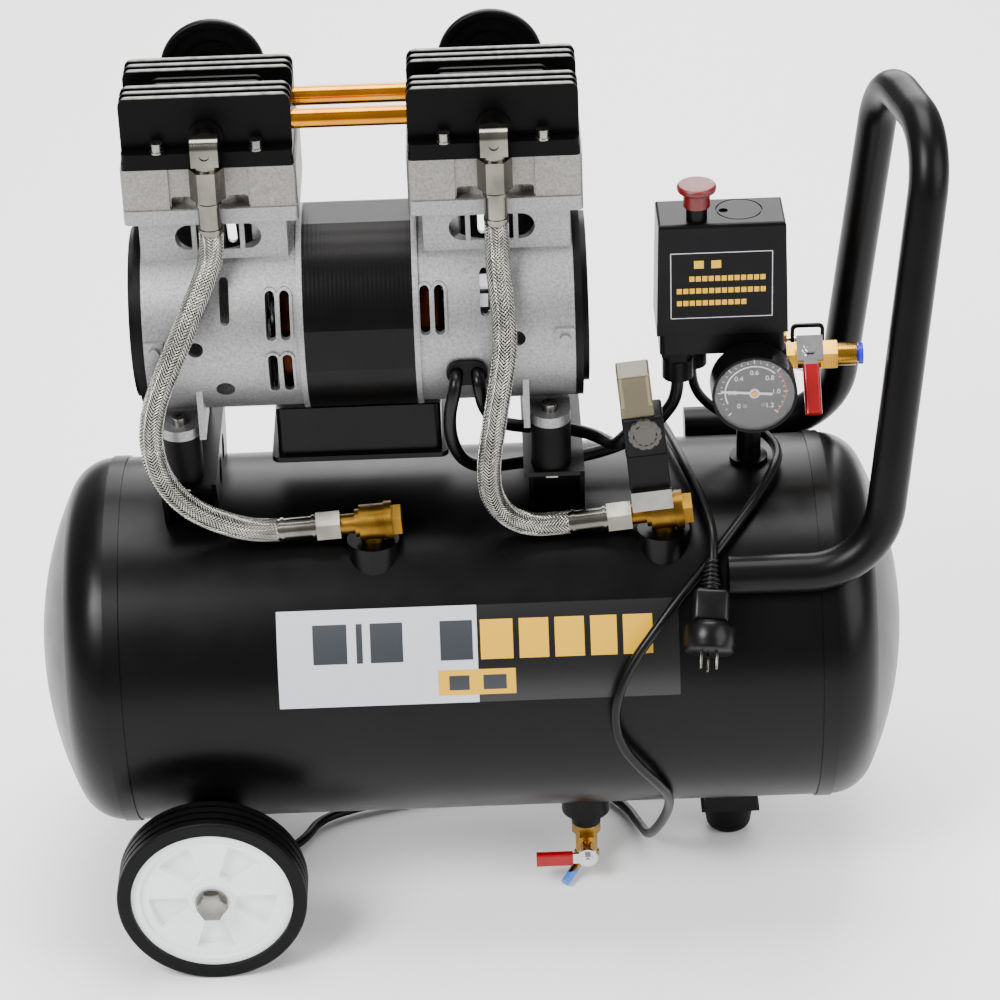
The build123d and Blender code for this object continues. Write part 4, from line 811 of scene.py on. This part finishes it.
decalSet = {"lift": 0.15, "greyFrom": -125.0, "split": 4.0, "blackTo": 134.0, "low": 8.5, "high": 38.5,
            "plateHigh": 18, "markLift": 0.2, "inkLift": 0.1}
decalBars = [
    # x from, x to, low angle, high angle, finish
    (-102, -80, 22, 34, "inkDark"), (-74, -70, 22, 34, "inkDark"), (-65, -44, 22, 34, "inkDark"),
    (-20, 1, 22, 34, "inkDark"), (6, 27, 22, 34, "inkYellow"), (31, 50, 22, 34, "inkYellow"),
    (54, 73, 22, 34, "inkYellow"), (77, 94, 22, 34, "inkYellow"), (98, 117, 22, 34, "inkYellow"),
    (-22, 28, 11, 19, "inkYellow"), (-15, -2, 12.6, 17.2, "inkDark"), (7, 22, 12.6, 17.2, "inkDark"),
]


def wrapPatch(name, xFrom, xTo, lowAngle, highAngle, lift, finish):
    # A thin film bent round the tank; the angle is measured up from the horizontal.
    shape = bmesh.new()
    bmesh.ops.create_grid(shape, x_segments=4, y_segments=24, size=0.5)
    tankRadius = (tankHigh.z - tankLow.z) / 2
    axis = (tankHigh.z + tankLow.z) / 2
    for vert in shape.verts:
        x = xFrom + (vert.co.x + 0.5) * (xTo - xFrom)
        angle = math.radians(lowAngle + (vert.co.y + 0.5) * (highAngle - lowAngle))
        reach = tankRadius + lift / 1000
        vert.co = Vector((tankMiddle + x / 1000, -reach * math.cos(angle), axis + reach * math.sin(angle)))
    finishPiece(name, shape, finish, "frame")


def addDecal():
    s = decalSet
    for name, xFrom, xTo, film in (("decalGrey", s["greyFrom"], s["split"], "filmGrey"),
                                   ("decalBlack", s["split"], s["blackTo"], "filmBlack")):
        wrapPatch(name, xFrom, xTo, s["low"], s["high"], s["lift"], film)
    for i, (xFrom, xTo, low, high, finish) in enumerate(decalBars):
        # Dark marks inside the yellow plate lie one layer higher.
        onPlate = finish == "inkDark" and high < s["plateHigh"]
        lift = s["lift"] + (s["markLift"] if onPlate else s["inkLift"])
        wrapPatch("decalBar_" + str(i), xFrom, xTo, low, high, lift, finish)


addDecal()
print("decal laid on the tank")

switchPanel = {"from": (135.0, 413.0), "to": (200.0, 459.0), "line": 0.5,
               "splitHeight": 401.0, "draft": 1.2, "lift": 0.12}
panelRows = [(150, 181, 448, 453.4, 11.0, 6.2), (147, 197, 439, 442.6, 4.1, 3.2),
             (139, 197, 430.5, 434.1, 4.1, 3.2),
             (139, 186, 422, 425.6, 4.1, 3.2)]  # from, to, low, high, pitch, mark


def coverFront(z):
    # The front wall leans back with the mould's draft.
    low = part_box("switch_cover")[0]
    lean = math.tan(math.radians(switchPanel["draft"]))
    return low.y * 1000 + (z - switchPanel["splitHeight"]) * lean - switchPanel["lift"]


def addPanelFace(shape, xa, xb, za, zb):
    corners = ((xa, za), (xb, za), (xb, zb), (xa, zb))
    shape.faces.new([shape.verts.new(place(x, coverFront(z), z)) for x, z in corners])


def addPanel():
    frameShape = bmesh.new()
    bars = bmesh.new()
    (x0, z0), (x1, z1), w = switchPanel["from"], switchPanel["to"], switchPanel["line"]
    for xa, xb, za, zb in ((x0, x1, z0, z0 + w), (x0, x1, z1 - w, z1), (x0, x0 + w, z0, z1),
                           (x1 - w, x1, z0, z1)):
        addPanelFace(frameShape, xa, xb, za, zb)
    finishPiece("panelFrame", frameShape, "filmGrey", "frame", smooth=False)
    for start, stop, za, zb, pitch, mark in panelRows:
        for i in range(int((stop - start) / pitch)):
            xa, xb = start + i * pitch, start + i * pitch + mark
            addPanelFace(bars, xa, xb, za, zb)
    finishPiece("panelBars", bars, "inkYellow", "frame", smooth=False)


addPanel()
print("switch panel printed")
